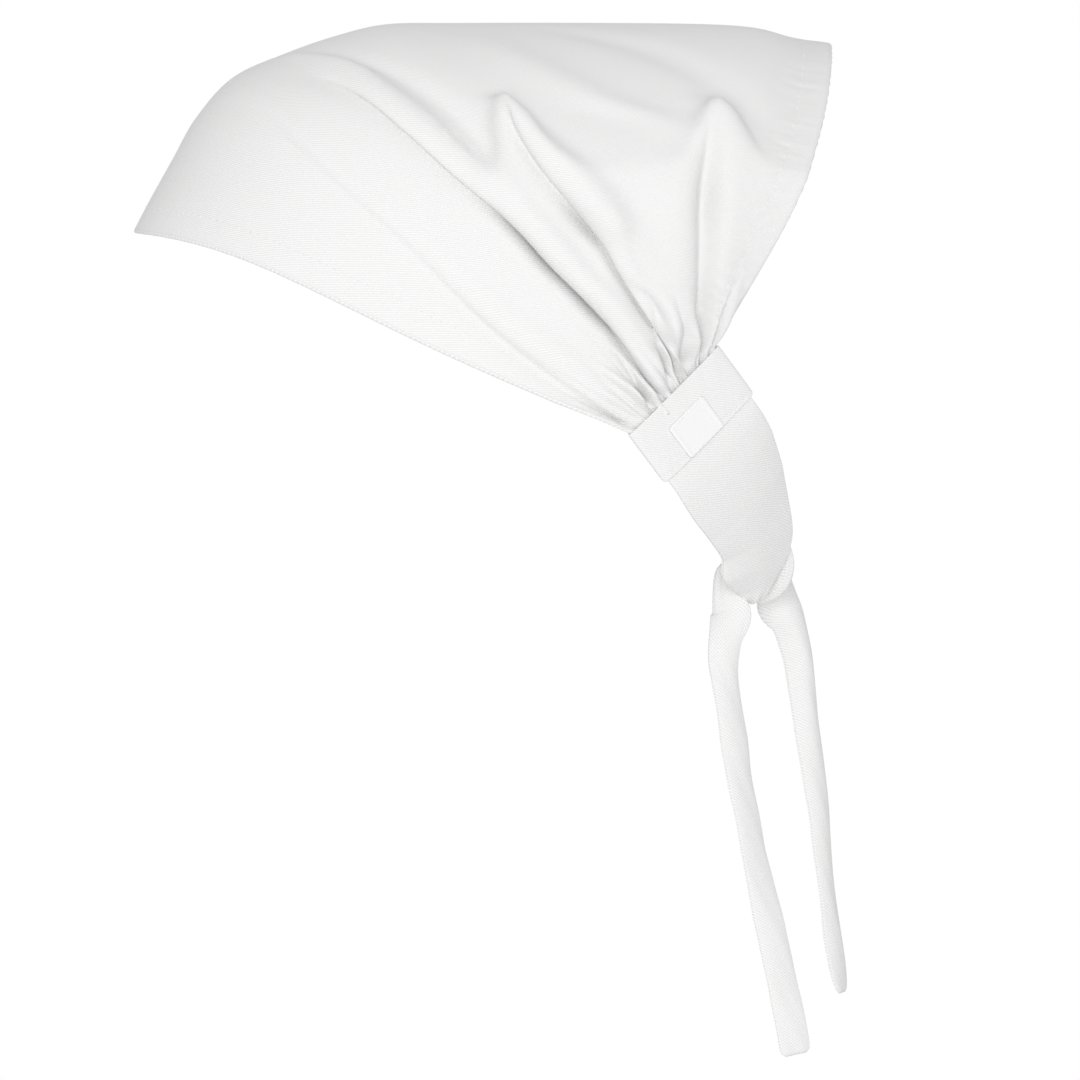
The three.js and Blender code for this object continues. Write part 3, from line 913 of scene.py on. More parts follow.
@dataclass(frozen=True)
class FoldStyle:
    """How a long fold is drawn. Places and breadths across it are shares of its own breadth."""

    depth: float = 0.005
    breadth: float = 0.010
    bank_place: float = 1.7
    bank_breadth: float = 1.3
    slide_place: float = 1.05
    slide_breadth: float = 0.85
    slide_depth: float = 0.3
    hem_calm: float = 0.035

    def relief(
        self, folds: tuple[Fold, ...], place: Floats, reach: Floats, spread: Floats
    ) -> tuple[Floats, Floats]:
        """Outward relief and sideways slide of the long folds.

        A fold is a bell across its line. Its bank is a wider bell beside it, and the slide pushes the bank
        over the fold, so that the cloth overhangs.

        Args:
            folds: The folds of one side.
            place: Places of the columns.
            reach: Reaches of the rows.
            spread: Length of each row from hem to hem.

        Returns:
            Relief and slide in metres, by reach and place.
        """
        relief = np.zeros((len(reach), len(place)))
        slide = np.zeros_like(relief)
        for fold in folds:
            rows = np.array(fold.rows)
            centre, depth, breadth = np.moveaxis(read_table(rows, reach), -1, 0)[:, :, None]
            first = rows[0, 0] if rows[0, 0] > 0 else -1
            present = ((reach <= rows[-1, 0]) & (reach >= first))[:, None]
            depth = depth * self.depth * present
            breadth = breadth * self.breadth
            u = fold.bank_side * (place[None] - centre) * spread[:, None] / breadth
            relief += depth * (-hump(u) + fold.bank * hump((u - self.bank_place) / self.bank_breadth))
            strength = np.clip(np.abs(depth) / (self.slide_depth * self.depth), 0, 1)
            pushed = hump((u - self.slide_place) / self.slide_breadth)
            slide -= fold.bank_side * fold.lean * breadth * strength * pushed
        hems = between_hems(place, self.hem_calm)
        return relief * hems, slide * hems


@dataclass(frozen=True)
class TopEdge:
    """How the cloth sinks behind the ledge, where the side of the crown turns over into its flatter top."""

    depth: float = 0.0065
    breadth: float = 0.016
    softness: float = 0.0022
    base: float = 0.41
    fade_from: float = 0.5
    steps: int = 600

    def relief(self, ledge: Rows, place: Floats, reach: Floats, arc: float, spread: float) -> Floats:
        """Relief that sinks the top of the crown behind the ledge.

        The cloth behind the ledge sinks with its height over the ledge's lowest part, ever more slowly, by
        one minus e to the minus height, and comes back toward the middle line. A smooth step across the
        ledge, by the distance on the flat cloth, sets it off from the ridges that stand out before it.

        Args:
            ledge: Places and reaches of the ledge.
            place: Places of the columns.
            reach: Reaches of the rows.
            arc: Length of a column from the seam to the middle line.
            spread: Length of the longest row from hem to hem.

        Returns:
            Relief in metres, by reach and place.
        """
        fine = np.linspace(0, 1, self.steps)
        line = np.stack([fine * spread, read_table(ledge, fine)[:, 0] * arc], -1)
        spots = np.stack(np.meshgrid(place * spread, reach * arc), -1)
        nearest = np.sqrt(((spots[:, :, None] - line) ** 2).sum(-1)).min(-1)
        behind = np.where(reach[:, None] > read_table(ledge, place)[:, 0], nearest, -nearest)
        step = 0.5 + 0.5 * np.tanh(behind / self.softness)
        height = self.softness * np.logaddexp(0.0, (reach - self.base) * arc / self.softness)
        sunk = (1 - np.exp(-height / self.breadth)) * (1 - ease(self.fade_from, 1.0, reach))
        return -self.depth * sunk[:, None] * step


@dataclass(frozen=True)
class Gathers:
    """Small round pleats that the seam draws in. A wobble is how far a value strays from pleat to pleat."""

    count: int = 13
    height: float = 0.0023
    place_wobble: float = 0.35
    height_wobble: float = 0.25
    end_reach: float = 0.135
    end_wobble: float = 0.05
    start_reach: float = 0.02
    shortest: float = 0.03
    fade_power: float = 1.4
    seam_share: float = 0.3
    swell_reach: float = 0.03
    roundness: float = 0.7
    hem_share: float = 0.35
    hem_calm: float = 0.03
    place_rate: float = 9.0
    height_rate: float = 17.0
    end_rate: float = 23.0

    def relief(self, place: Floats, reach: Floats, seed: float) -> Floats:
        """Relief of the pleats.

        A pleat is a power of a sine, round on top with a narrow crease at each side. Pleats are of
        irregular breadth and height, strongest a little above the seam, and each dies away at its own
        reach.

        Args:
            place: Places of the columns.
            reach: Reaches of the rows.
            seed: Sets the irregularity.

        Returns:
            Relief in metres, by reach and place.
        """
        place, reach = np.meshgrid(place, reach)
        turns = self.count * place + self.place_wobble * wobble(self.place_rate * place, seed)
        height = 1 - self.height_wobble + self.height_wobble * wobble(self.height_rate * place, seed + 2)
        end = self.end_reach + self.end_wobble * wobble(self.end_rate * place, seed + 4)
        swell = self.seam_share + (1 - self.seam_share) * ease(0.0, self.swell_reach, reach)
        run_out = np.maximum(end - self.start_reach, self.shortest)
        fade = 1 - np.clip((reach - self.start_reach) / run_out, 0, 1) ** self.fade_power
        edges = self.hem_share + (1 - self.hem_share) * between_hems(place, self.hem_calm)
        pleat = 2 * np.abs(np.sin(math.pi * turns)) ** self.roundness - 1
        return self.height * height * swell * fade * pleat * edges


@dataclass(frozen=True)
class Puckers:
    """Dents that a hem's stitching draws into the cloth."""

    pitch: float = 0.0044
    wave: float = 0.00034
    wave_breadth: float = 0.0065
    stray: float = 1.3
    stray_run: float = 0.006
    groove: float = 0.0001
    groove_breadth: float = 0.0011
    edge_calm: float = 0.0012

    def relief(self, across: Floats, along: Floats, stitch_line: float) -> Floats:
        """Relief of the puckers: a cosine along the hem, strongest at the stitch line, and a groove there.

        Args:
            across: Distance from the hem's edge.
            along: Distance along the hem.
            stitch_line: Distance of the stitches from the hem's edge.

        Returns:
            Relief in metres.
        """
        phase = 2 * math.pi * along / self.pitch + self.stray * wobble(along / self.stray_run, 3.0)
        near = hump((across - stitch_line) / self.wave_breadth)
        groove = hump((across - stitch_line) / self.groove_breadth)
        return (self.wave * np.cos(phase) * near - self.groove * groove) * ease(0.0, self.edge_calm, across)


@dataclass
class Crown:
    """The gathered cloth over the head, hemmed in front and behind."""

    seam: SeamFrame
    length: float = 0.2172
    rise: float = 0.065
    seat_back: float = 0.0985
    breadth: float = 0.154
    thickness: float = 0.0014
    cloth: float = 0.0009
    hem_width: float = 0.008
    hem_extra: float = 0.0006
    hem_edge: float = 0.0002
    hem_slope: float = 0.0014
    hem_share: float = 0.12
    hem_roll: float = 0.0015
    clearance: float = 0.0003
    fold_style: FoldStyle = FoldStyle()
    top_edge: TopEdge = TopEdge()
    gathers: Gathers = Gathers()
    puckers: Puckers = Puckers()
    front_puckers: float = 0.2
    seam_inset: float = 0.0013
    inset_reach: float = 0.06
    seam_calm: float = 0.6
    calm_reach: float = 0.03
    free_reach: float = 0.12
    dip: float = 0.004
    shallow_dip: float = 0.001
    dip_rows: int = 4
    tuck: float = 0.955
    columns: int = 301
    stations: int = 96
    even_rows: float = 0.35
    row_power: float = 1.7
    crowding: float = 0.18
    crowding_breadth: float = 0.04
    place_steps: int = 2001
    flank_steps: int = 96
    top_steps: int = 145
    head_middle: tuple[float, float, float] = (0.0, 0.02, -0.07)
    rim_turns: tuple[float, ...] = (45.0, 90.0, 135.0)
    stitch_skip: int = 8

    # share of the length, share of the rise
    middle_line: Rows = (
        (0, 0), (0.025, 0.159), (0.057, 0.351), (0.0895, 0.543), (0.142, 0.736), (0.217, 0.853),
        (0.2892, 0.9375), (0.36, 0.993), (0.45, 1), (0.7, 1), (0.84, 0.992), (0.9, 0.972), (0.951, 0.923),
        (1, 0.904),
    )
    # place, share of the breadth, height of the widest point, roundness, bow as share of the rise, its place
    arc_shapes: Rows = (
        (0.0, 1.0, 0.35, 2.4, 0.082, 2.5),
        (0.3, 1.0, 0.42, 2.25, 0.074, 2.2),
        (0.55, 1.0, 0.48, 2.1, 0.08, 1.8),
        (0.8, 0.94, 0.5, 2.1, 0.092, 1.4),
        (1.0, 0.86, 0.48, 2.1, 0.1, 1.25),
    )

    def middle(self, place: Floats) -> Floats:
        """Points of the crown's middle line by place along its run.

        Args:
            place: Places along the line.

        Returns:
            Their Y and Z.
        """
        share, rise = np.array(self.middle_line).T
        line = np.stack([share * self.length - self.seat_back, (rise - 1) * self.rise + self.thickness], -1)
        run = run_length(line, 0)
        return read_table(np.column_stack([run / run[-1], line]), place)

    def half_arcs(self, place: Floats, reach: Floats) -> Floats:
        """Arcs from the left seam to the middle line.

        Each arc rises from the seam to the middle line. Below its shoulder it swells to its full breadth
        by a parabola, and above it closes by a rounded quarter of a superellipse. It bows sideways by a
        sine of its rise. Its points are then spread evenly by reach.

        Args:
            place: Places of the arcs, front to back.
            reach: Reaches along each arc, from 0 to 1.

        Returns:
            Points by reach, by place.
        """
        start = self.seam.point(place - 0.5, -self.clearance, 0.0)
        top = self.middle(place)
        share, shoulder, roundness, bow, bow_place = np.moveaxis(read_table(self.arc_shapes, place), -1, 0)
        half = share * self.breadth / 2
        low = np.linspace(0, 1, self.flank_steps, endpoint=False)[:, None]
        angle = np.linspace(0, math.pi / 2, self.top_steps)[:, None]
        high = np.sin(angle) ** (2 / roundness)
        rise = np.concatenate([low * shoulder, shoulder + (1 - shoulder) * high])
        x_low = half - (half - start[:, 0]) * (1 - low) ** 2
        x_high = half * np.maximum(np.cos(angle), 0.0) ** (2 / roundness)
        dy, dz = top[:, 0] - start[:, 1], top[:, 1] - start[:, 2]
        run = np.hypot(dy, dz)
        side = bow * self.rise * np.sin(math.pi * rise**bow_place)
        x = np.concatenate([x_low, x_high])
        y = start[:, 1] + dy * rise + dz / run * side
        z = start[:, 2] + dz * rise - dy / run * side
        points = np.stack([x, y, z], -1)
        lengths = run_length(points, 0)
        goal = reach[:, None] * lengths[-1]
        i = np.clip((lengths[None] <= goal[:, None]).sum(axis=1) - 1, 0, len(lengths) - 2)
        column = np.arange(len(place))
        q = (goal - lengths[i, column]) / (lengths[i + 1, column] - lengths[i, column])
        return points[i, column] * (1 - q[..., None]) + points[i + 1, column] * q[..., None]

    def column_places(self) -> Floats:
        """Places of the columns, closer together by a sum of bells where the long folds run.

        Returns:
            The places.
        """
        fine = np.linspace(0, 1, self.place_steps)
        weight = np.ones_like(fine)
        for fold in LEFT_HALF.folds + RIGHT_HALF.folds:
            middle = np.array(fold.rows)[:, 1].mean()
            weight += self.crowding * hump((fine - middle) / self.crowding_breadth)
        total = np.concatenate([[0.0], np.cumsum((weight[1:] + weight[:-1]) / 2)])
        return np.interp(np.linspace(0, total[-1], self.columns), total, fine)

    def smooth_half(self) -> tuple[Floats, Floats, Floats]:
        """Lays the smooth cloth of the left half, from inside the cuff up to the middle line.

        The rows lie closer together near the seam, by a power of their number, and a few more go down into
        the cuff.

        Returns:
            Places of the columns, reaches of the rows, and points by row and column.
        """
        place = self.column_places()
        steps = np.linspace(0, 1, self.stations)
        reach = self.even_rows * steps + (1 - self.even_rows) * steps**self.row_power
        dips = np.linspace(self.dip, self.shallow_dip, self.dip_rows)
        under = self.seam.point((place - 0.5) * self.tuck, dips[:, None], 0.0)
        half = np.concatenate([under, self.half_arcs(place, reach)])
        return place, np.concatenate([np.zeros(self.dip_rows), reach]), half

    def half_relief(
        self, shape: HalfShape, place: Floats, reach: Floats, half: Floats
    ) -> tuple[Floats, Floats]:
        """Adds the long folds, the top edge and the gathers of one half.

        Args:
            shape: The half's folds, ledge and seed.
            place: Places of the columns.
            reach: Reaches of the rows.
            half: Points of the smooth half.

        Returns:
            Relief and slide in metres, by reach and place.
        """
        spread = run_length(half, 1)[:, -1]
        arc = float(run_length(half, 0)[-1].mean())
        relief, slide = self.fold_style.relief(shape.folds, place, reach, spread)
        relief = relief + self.top_edge.relief(shape.ledge, place, reach, arc, spread.max())
        calm = 1 - self.seam_calm * (1 - ease(0.0, self.calm_reach, reach))[:, None]
        return relief * calm + self.gathers.relief(place, reach, shape.seed), slide * calm

    def directions(self, base: Floats, free: Floats) -> tuple[Floats, Floats]:
        """Outward and backward directions of the smooth cloth.

        Outward is the cross product of the two ways along the cloth, turned away from the middle of the
        head. At the seams it goes over into the cuff's own outward way.

        Args:
            base: Points of the smooth cloth.
            free: 0 at the seams, rising to 1 where the cloth is free of the cuff.

        Returns:
            The two directions at each point.
        """
        normal = across_cloth(base, base - np.array(self.head_middle))
        half = len(base) // 2 + 1
        left = np.broadcast_to(self.seam.outward, (half, *base.shape[1:]))
        cuff_out = both_halves(left, mirrored(left, Side.RIGHT))
        return unit(normal * free + cuff_out * (1 - free)), unit(np.gradient(base, axis=1))

    def wall(self, edge: Floats, loose: Floats) -> Floats:
        """Thickness of the cloth by distance from the nearer hem: thicker where the hem is turned in."""
        inner_edge = self.hem_width + self.hem_edge
        return self.cloth + self.hem_extra * (1 - ease(inner_edge, inner_edge + self.hem_slope, edge)) * loose

    def rim(self, outer: Floats, inner: Floats, ahead: Floats) -> Floats:
        """Rounds the end of the wall at one hem by a half circle.

        Args:
            outer: Points of the hem on the outer side.
            inner: Points of the hem on the inner side.
            ahead: Way out of the cloth, half as long as the wall is thick.

        Returns:
            Points by row and by place round the half circle, from the outer side to the inner.
        """
        turns = np.radians(self.rim_turns)[:, None]
        middle, lift = (outer + inner)[:, None] / 2, (outer - inner)[:, None] / 2
        return middle + lift * np.cos(turns) + ahead[:, None] * np.sin(turns)

    def build(self) -> tuple[Surface, Floats, Floats, Floats]:
        """Builds the crown's surface.

        The smooth cloth is moved outward by its relief and backward by its slide. The inner side lies one
        thickness behind the outer side, and both hems are drawn in to leave room for their rounded rims.

        Returns:
            The closed surface, the outer grid of points, its normals and the inner grid.
        """
        place, reach, half = self.smooth_half()
        base = both_halves(half, mirrored(half, Side.RIGHT))
        reaches = both_halves(reach, reach)[:, None]
        free = ease(0.0, self.free_reach, reaches)[..., None]
        loose = ease(self.calm_reach, self.free_reach, reaches)
        normal, backward = self.directions(base, free)

        sides = [self.half_relief(shape, place, reach, half) for shape in (LEFT_HALF, RIGHT_HALF)]
        relief, slide = (both_halves(left, right) for left, right in zip(*sides))
        from_front, up = run_length(base, 1), run_length(base, 0)
        from_back = from_front[:, -1:] - from_front
        along_hem = np.abs(up - up[len(half) - 1])
        back_dents = self.puckers.relief(from_back, along_hem, self.hem_width)
        front_dents = self.puckers.relief(from_front, along_hem, self.hem_width)
        relief = relief - self.seam_inset * (1 - ease(0.0, self.inset_reach, reaches))
        relief = relief + back_dents * loose + self.front_puckers * front_dents * loose
        wall = self.wall(np.minimum(from_front, from_back), loose)
        room = wall / 2 * (ease(0.0, self.hem_roll, from_back) - ease(0.0, self.hem_roll, from_front))

        outer = base + relief[..., None] * normal + (slide + room)[..., None] * backward
        true = across_cloth(outer, normal)
        inner = outer - unit(true * free + normal * (1 - free)) * wall[..., None]
        ahead = backward * wall[..., None] / 2
        back_rim = self.rim(outer[:, -1], inner[:, -1], ahead[:, -1])
        front_rim = self.rim(outer[:, 0], inner[:, 0], -ahead[:, 0])
        rings = np.concatenate([outer, back_rim, inner[:, ::-2], front_rim[:, ::-1]], axis=1)
        flat = np.stack([up, from_front], -1)
        back_flat, front_flat = (np.repeat(flat[:, [k]], len(self.rim_turns), 1) for k in (-1, 0))
        cloth = np.concatenate([flat, back_flat, flat[:, ::-2], front_flat], axis=1)
        return loft(rings, cloth), outer, true, inner

    def hem_path(self, grid: Floats, normals: Floats, from_front: bool) -> tuple[Floats, Floats]:
        """Line of the hem's stitches on a grid, with the directions there.

        Args:
            grid: Points by row and column.
            normals: Directions by row and column.
            from_front: Whether it is the front hem.

        Returns:
            Points and directions along the hem.
        """
        run = run_length(grid, 1)
        goal = np.minimum(self.hem_width, self.hem_share * run[:, -1])
        goal = goal if from_front else run[:, -1] - goal
        i = np.clip((run <= goal[:, None]).sum(axis=1) - 1, 0, grid.shape[1] - 2)
        row = np.arange(len(grid))
        q = ((goal - run[row, i]) / (run[row, i + 1] - run[row, i]))[:, None]
        path = grid[row, i] * (1 - q) + grid[row, i + 1] * q
        kept = slice(self.stitch_skip, -self.stitch_skip)
        return path[kept], normals[row, i][kept]

    def dress(self, finish: bpy.types.Material, thread: bpy.types.Material) -> list[bpy.types.Object]:
        """Makes the crown and its hem stitching.

        Args:
            finish: The cloth.
            thread: The sewing thread.

        Returns:
            The pieces.
        """
        surface, outer, normals, inner = self.build()
        crown = surface.put("crown_cloth", finish)
        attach(crown, BODY)
        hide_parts("crown_panel")
        rows = []
        stitches = StitchRow(radius=0.00015, sink=0.0002)
        for from_front in (True, False):
            rows.append(stitches.along(*self.hem_path(outer, normals, from_front)))
            rows.append(stitches.along(*self.hem_path(inner, -normals, from_front)))
        sewing = gather_surfaces(rows).put("crown_hem_stitches", thread)
        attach(sewing, BODY)
        return [crown, sewing]


# Cuffs and label


@dataclass
class Cuff:
    """A sewn sleeve of cloth that holds the gathers and the tie."""

    seam: SeamFrame
    side: Side
    width: float = 0.0195
    thickness: float = 0.0031
    wall: float = 0.0005
    overhang: float = 0.0005
    squareness: float = 3.2
    corner: float = 0.0012
    stitch_inset: float = 0.0014
    stitch_span: float = 0.94
    stitch_points: int = 60
    groove: float = 0.00012
    groove_breadth: float = 0.0007
    swell: float = 0.00012
    ripple: float = 0.00004
    ripple_along: float = 30.0
    ripple_down: float = 400.0
    stations: int = 280
    rows: int = 40
    loop_steps: int = 4001
    rim_turns: tuple[float, ...] = (-60.0, -30.0, 0.0, 30.0, 60.0)

    def face(self, share: Floats, drop: Floats) -> Floats:
        """How far the cloth stands out: a low swell, less a groove at the stitches, with a slight wobble.

        Args:
            share: Shares along the seam.
            drop: Metres down the sleeve.

        Returns:
            Metres outward.
        """
        swell = self.swell * (1 - (2 * drop / self.width - 1) ** 2)
        groove = self.groove * hump((drop - self.width + self.stitch_inset) / self.groove_breadth)
        return swell - groove + self.ripple * wobble(share * self.ripple_along + drop * self.ripple_down, 2.0)

    def half_height(self, share: Floats) -> Floats:
        """Half the sleeve's thickness by share along the seam: a superellipse that closes at the ends."""
        across = np.abs(share * self.seam.length) / (self.seam.length / 2 + self.overhang)
        return self.thickness / 2 * (1 - np.clip(across, 0, 1) ** self.squareness) ** (1 / self.squareness)

    def loop(self) -> tuple[Floats, Floats, Floats]:
        """Lays the middle of the wall round the sleeve, evenly spaced on a superellipse.

        Returns:
            Distances round the sleeve, points along the seam and outward, and directions out of the wall.
        """
        half = np.array([self.seam.length / 2 + self.overhang, self.thickness / 2])
        turns = np.linspace(0, 2 * math.pi, self.loop_steps)
        shape = np.stack([np.cos(turns), np.sin(turns)], -1)
        shape = np.sign(shape) * np.abs(shape) ** (2 / self.squareness)
        line = shape * (half - self.wall / 2)
        run = run_length(line, 0)
        at = np.linspace(0, run[-1], self.stations, endpoint=False)
        middle = np.stack([np.interp(at, run, line[:, k]) for k in range(2)], -1)
        way = unit(np.roll(middle, -1, axis=0) - np.roll(middle, 1, axis=0))
        return at, middle, np.stack([way[:, 1], -way[:, 0]], -1)

    def section(self) -> tuple[Floats, Floats]:
        """Goes round the wall: down its outer side, up its inner side, and round both rims.

        Returns:
            Metres down the sleeve, and places in the wall from -0.5 inside to 0.5 outside.
        """
        half = self.wall / 2
        drops = np.linspace(half, self.width - half, self.rows)
        rims = np.radians(self.rim_turns)
        low, high = self.width - half + np.cos(rims) * half, half - np.cos(rims) * half
        down = np.concatenate([drops, low, drops[::-1], high])
        layer = np.concatenate([0 * drops + 0.5, -np.sin(rims) / 2, 0 * drops - 0.5, np.sin(rims) / 2])
        return down[None], layer[None]

    def build(self) -> Surface:
        """Builds the sleeve.

        A wall with rounded rims is carried round a flat loop that thins toward the ends of the seam. The
        loop draws in a little at the lower corners, by a quarter of a circle.

        Returns:
            The closed surface.
        """
        at, middle, outward = self.loop()
        down, layer = self.section()
        q = np.clip((down - self.width + self.corner) / self.corner, 0, 1)
        drawn = self.corner * (1 - np.sqrt(1 - q**2)) / (self.seam.length / 2 + self.overhang)
        share = (middle[:, :1] * (1 - drawn) + outward[:, :1] * layer * self.wall) / self.seam.length
        lift = layer * self.wall + self.face(share, down)
        out = -self.thickness / 2 + middle[:, 1:] + outward[:, 1:] * lift
        points = mirrored(self.seam.point(share, down, out), self.side)
        cloth = np.stack(np.broadcast_arrays(at[:, None], down), -1)
        return loft(points, cloth, ring_closed=True)

    def stitch_path(self, inside: bool) -> tuple[Floats, Floats]:
        """Line of the stitches near the sleeve's lower edge.

        Args:
            inside: Whether it is on the side toward the neck.

        Returns:
            Points and directions along the line.
        """
        share = np.linspace(-self.stitch_span / 2, self.stitch_span / 2, self.stitch_points)
        drop = np.full_like(share, self.width - self.stitch_inset)
        lift = self.half_height(share) + self.face(share, drop)
        out = -self.thickness / 2 + (-lift if inside else lift)
        normal = self.seam.outward * (-1 if inside else 1)
        path = mirrored(self.seam.point(share, drop, out), self.side)
        return path, mirrored(np.broadcast_to(normal, path.shape), self.side)

    def dress(self, finish: bpy.types.Material, thread: bpy.types.Material) -> list[bpy.types.Object]:
        """Makes the cuff and its stitching.

        Args:
            finish: The cloth.
            thread: The sewing thread.

        Returns:
            The pieces.
        """
        word = self.side.name.lower()
        cuff = self.build().put(f"cuff_cloth_{word}", finish)
        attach(cuff, BODY)
        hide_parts(f"cuff_{word}")
        row = StitchRow(radius=0.00016)
        sewing = gather_surfaces([row.along(*self.stitch_path(inside)) for inside in (False, True)])
        stitches = sewing.put(f"cuff_stitches_{word}", thread)
        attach(stitches, BODY)
        return [cuff, stitches]


@dataclass
class Label:
    """The small woven label on the left cuff."""

    seam: SeamFrame
    cuff: Cuff
    length: float = 0.0155
    width: float = 0.0122
    thickness: float = 0.0006
    inset: float = 0.0002
    shift: float = 0.002
    lift: float = 0.00022
    corner: float = 0.0006
    corner_run: float = 0.0012
    edge: float = 0.0003
    edge_share: float = 0.35
    end_share: float = 0.3
    end_power: int = 30
    turning: float = 0.0011
    turning_slope: float = 0.0005
    turning_share: float = 0.22
    stitch_inset: float = 0.0007
    stitch_sink: float = 0.0001
    stitch_points: int = 40
    grid: int = 61

    def point(self, across: Floats, up: Floats, out: Floats) -> Floats:
        """Points by their place from the label's middle: along the seam, toward the crown, outward."""
        drop = self.cuff.width - self.inset - self.width / 2 - up
        return self.seam.point((across - self.shift) / self.seam.length, drop, out)

    def build(self) -> Surface:
        """Builds the label.

        A thin plate, a little thicker at its turned ends. Its corners are drawn in by a square, its long
        edges are quarters of a circle and its ends fall by a high power.

        Returns:
            The closed surface.
        """
        share = np.linspace(-1, 1, self.grid)
        from_end = (1 - np.abs(share)) * self.length / 2
        from_edge = (1 - np.abs(share)) * self.width / 2
        half_width = self.width / 2 - self.corner * (1 - ease(0.0, self.corner_run, from_end)) ** 2
        flat_part = ease(self.turning, self.turning + self.turning_slope, from_end)
        thick = self.thickness * (1 - self.turning_share * flat_part)
        rounded = np.sqrt(1 - (1 - np.clip(from_edge / self.edge, 0, 1)) ** 2)
        ends = self.end_share + (1 - self.end_share) * (1 - np.abs(share) ** self.end_power)
        swell = self.edge_share + (1 - self.edge_share) * rounded[None] * ends[:, None]
        across = np.repeat((share * self.length / 2)[:, None], self.grid, 1)
        up = half_width[:, None] * share[None]
        top = self.lift + thick[:, None] * swell
        bottom = np.full_like(top, self.lift)
        points = np.concatenate([self.point(across, up, top), self.point(across, up, bottom)[:, ::-1]], 1)
        flat = np.stack([across, up], -1)
        return loft(points, np.concatenate([flat, flat[:, ::-1]], 1))

    def dress(self, finish: bpy.types.Material, thread: bpy.types.Material) -> list[bpy.types.Object]:
        """Makes the label and its stitching.

        Args:
            finish: The woven label.
            thread: The sewing thread.

        Returns:
            The pieces.
        """
        label = self.build().put("label_cloth", finish)
        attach(label, BODY)
        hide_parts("label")
        half, high = self.length / 2 - self.stitch_inset, self.width / 2 - self.stitch_inset
        t, level = np.linspace(-1, 1, self.stitch_points), np.ones(self.stitch_points)
        lines = [(t * half, level * high), (t * half, -level * high)]
        lines += [(level * half, t * high), (-level * half, t * high)]
        out = level * (self.lift + self.thickness - self.stitch_sink)
        normal = np.broadcast_to(self.seam.outward, (self.stitch_points, 3))
        row = StitchRow(length=0.0014, pitch=0.0019, radius=0.00011, sink=0.00012)
        surfaces = [row.along(self.point(x, y, out), normal) for x, y in lines]
        stitches = gather_surfaces(surfaces).put("label_stitches", thread)
        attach(stitches, BODY)
        return [label, stitches]


# Ties and the half knot


@dataclass(frozen=True)
class Knot:
    """The half knot at the nape, in which each strip winds once round a level axis."""

    side: float = 0.006
    drop: float = 0.167
    back: float = 0.097
    half: float = 0.008
    depth: float = 0.007
    height: float = 0.009

    def wind(self, x: Floats, turn: Floats) -> Floats:
        """Points of the winding, which goes round an ellipse.

        Args:
            x: Metres from the knot's middle.
            turn: 0 away from the neck, a quarter at the bottom.

        Returns:
            The points.
        """
        angle = turn * 2 * math.pi
        y, z = self.back + self.depth * np.cos(angle), -self.drop - self.height * np.sin(angle)
        return np.stack([self.side + x, y, z], -1)

    def wind_face(self, turn: Floats) -> Floats:
        """Outward directions of the winding."""
        angle = turn * 2 * math.pi
        return unit(np.stack([0 * angle, np.cos(angle) / self.depth, -np.sin(angle) / self.height], -1))

    def offset(self, out: Floats, back: Floats, up: Floats) -> Floats:
        """Points by shares of the knot's half breadth, depth and height from its middle."""
        x, y = self.side + out * self.half, self.back + back * self.depth
        return np.stack([x, y, -self.drop + up * self.height], -1)


def facing(turn: Floats | float, tip: Floats | float) -> Floats:
    """Directions by degrees of turn from +X toward +Y and of tip above level."""
    turn, tip = np.broadcast_arrays(np.radians(turn), np.radians(tip))
    return np.stack([np.cos(turn) * np.cos(tip), np.sin(turn) * np.cos(tip), np.sin(tip)], -1)


@dataclass(frozen=True)
class TieRoute:
    """Tables of one strip's route.

    tab: share of the way, width share, thickness share, hollow.
    bend: out, back and up from the knot's middle as shares, turn, tip, width share, thickness share.
    tail: share of the tail length as drop, out, back, turn, width share, thickness share, hollow.
    curl: how much more one edge of the tail sinks than the other.
    """

    tab: Rows
    bend: Rows
    tail: Rows
    end_way: tuple[float, float, float]
    tail_length: float
    wind_from: int
    curl: float


LEFT_ROUTE = TieRoute(
    tab=(
        (0.0, 1.0, 0.8, 0.0), (0.02, 1.0, 0.85, 0.0), (0.06, 1.0, 0.95, 0.0), (0.14, 1.01, 1.0, 0.01),
        (0.28, 1.0, 1.0, 0.03), (0.5, 0.91, 1.05, 0.05), (0.75, 0.79, 1.15, 0.05), (1.0, 0.76, 1.2, 0.03),
    ),
    bend=(
        (2.0, -0.12, 0.11, 42, -8, 0, 0), (1.3, -0.26, -0.64, 42, -25, 2.3, 0.55),
        (0.8, -0.42, -1.06, 35, -60, 1.2, 0.7),
    ),
    tail=(
        (0.0875, -1.9, 1.1, 38, 1.3, 1.6, 0.2), (0.134, -2.0, 1.6, 40, 1.1, 1.2, 0.22),
        (0.18, -2.1, 1.9, 42, 1.05, 1.0, 0.24), (0.226, -2.15, 2.1, 45, 1.0, 1.0, 0.24),
        (0.319, -2.2, 2.3, 53, 1.0, 1.0, 0.2), (0.411, -2.25, 2.5, 57, 1.0, 1.0, 0.16),
        (0.504, -2.3, 2.7, 56, 1.0, 1.0, 0.12), (0.596, -2.35, 2.92, 60, 1.0, 1.0, 0.1),
        (0.688, -2.4, 3.07, 65, 1.0, 1.0, 0.1), (0.78, -2.4, 3.26, 69, 1.0, 1.0, 0.08),
        (0.873, -2.4, 3.49, 65, 1.0, 1.0, 0.08), (0.965, -2.4, 3.72, 69, 0.96, 1.0, 0.05),
        (1.0, -2.4, 3.8, 69, 0.6, 0.7, 0.02),
    ),
    end_way=(-0.45, -0.1, -0.88), tail_length=0.136, wind_from=3, curl=0.7,
)
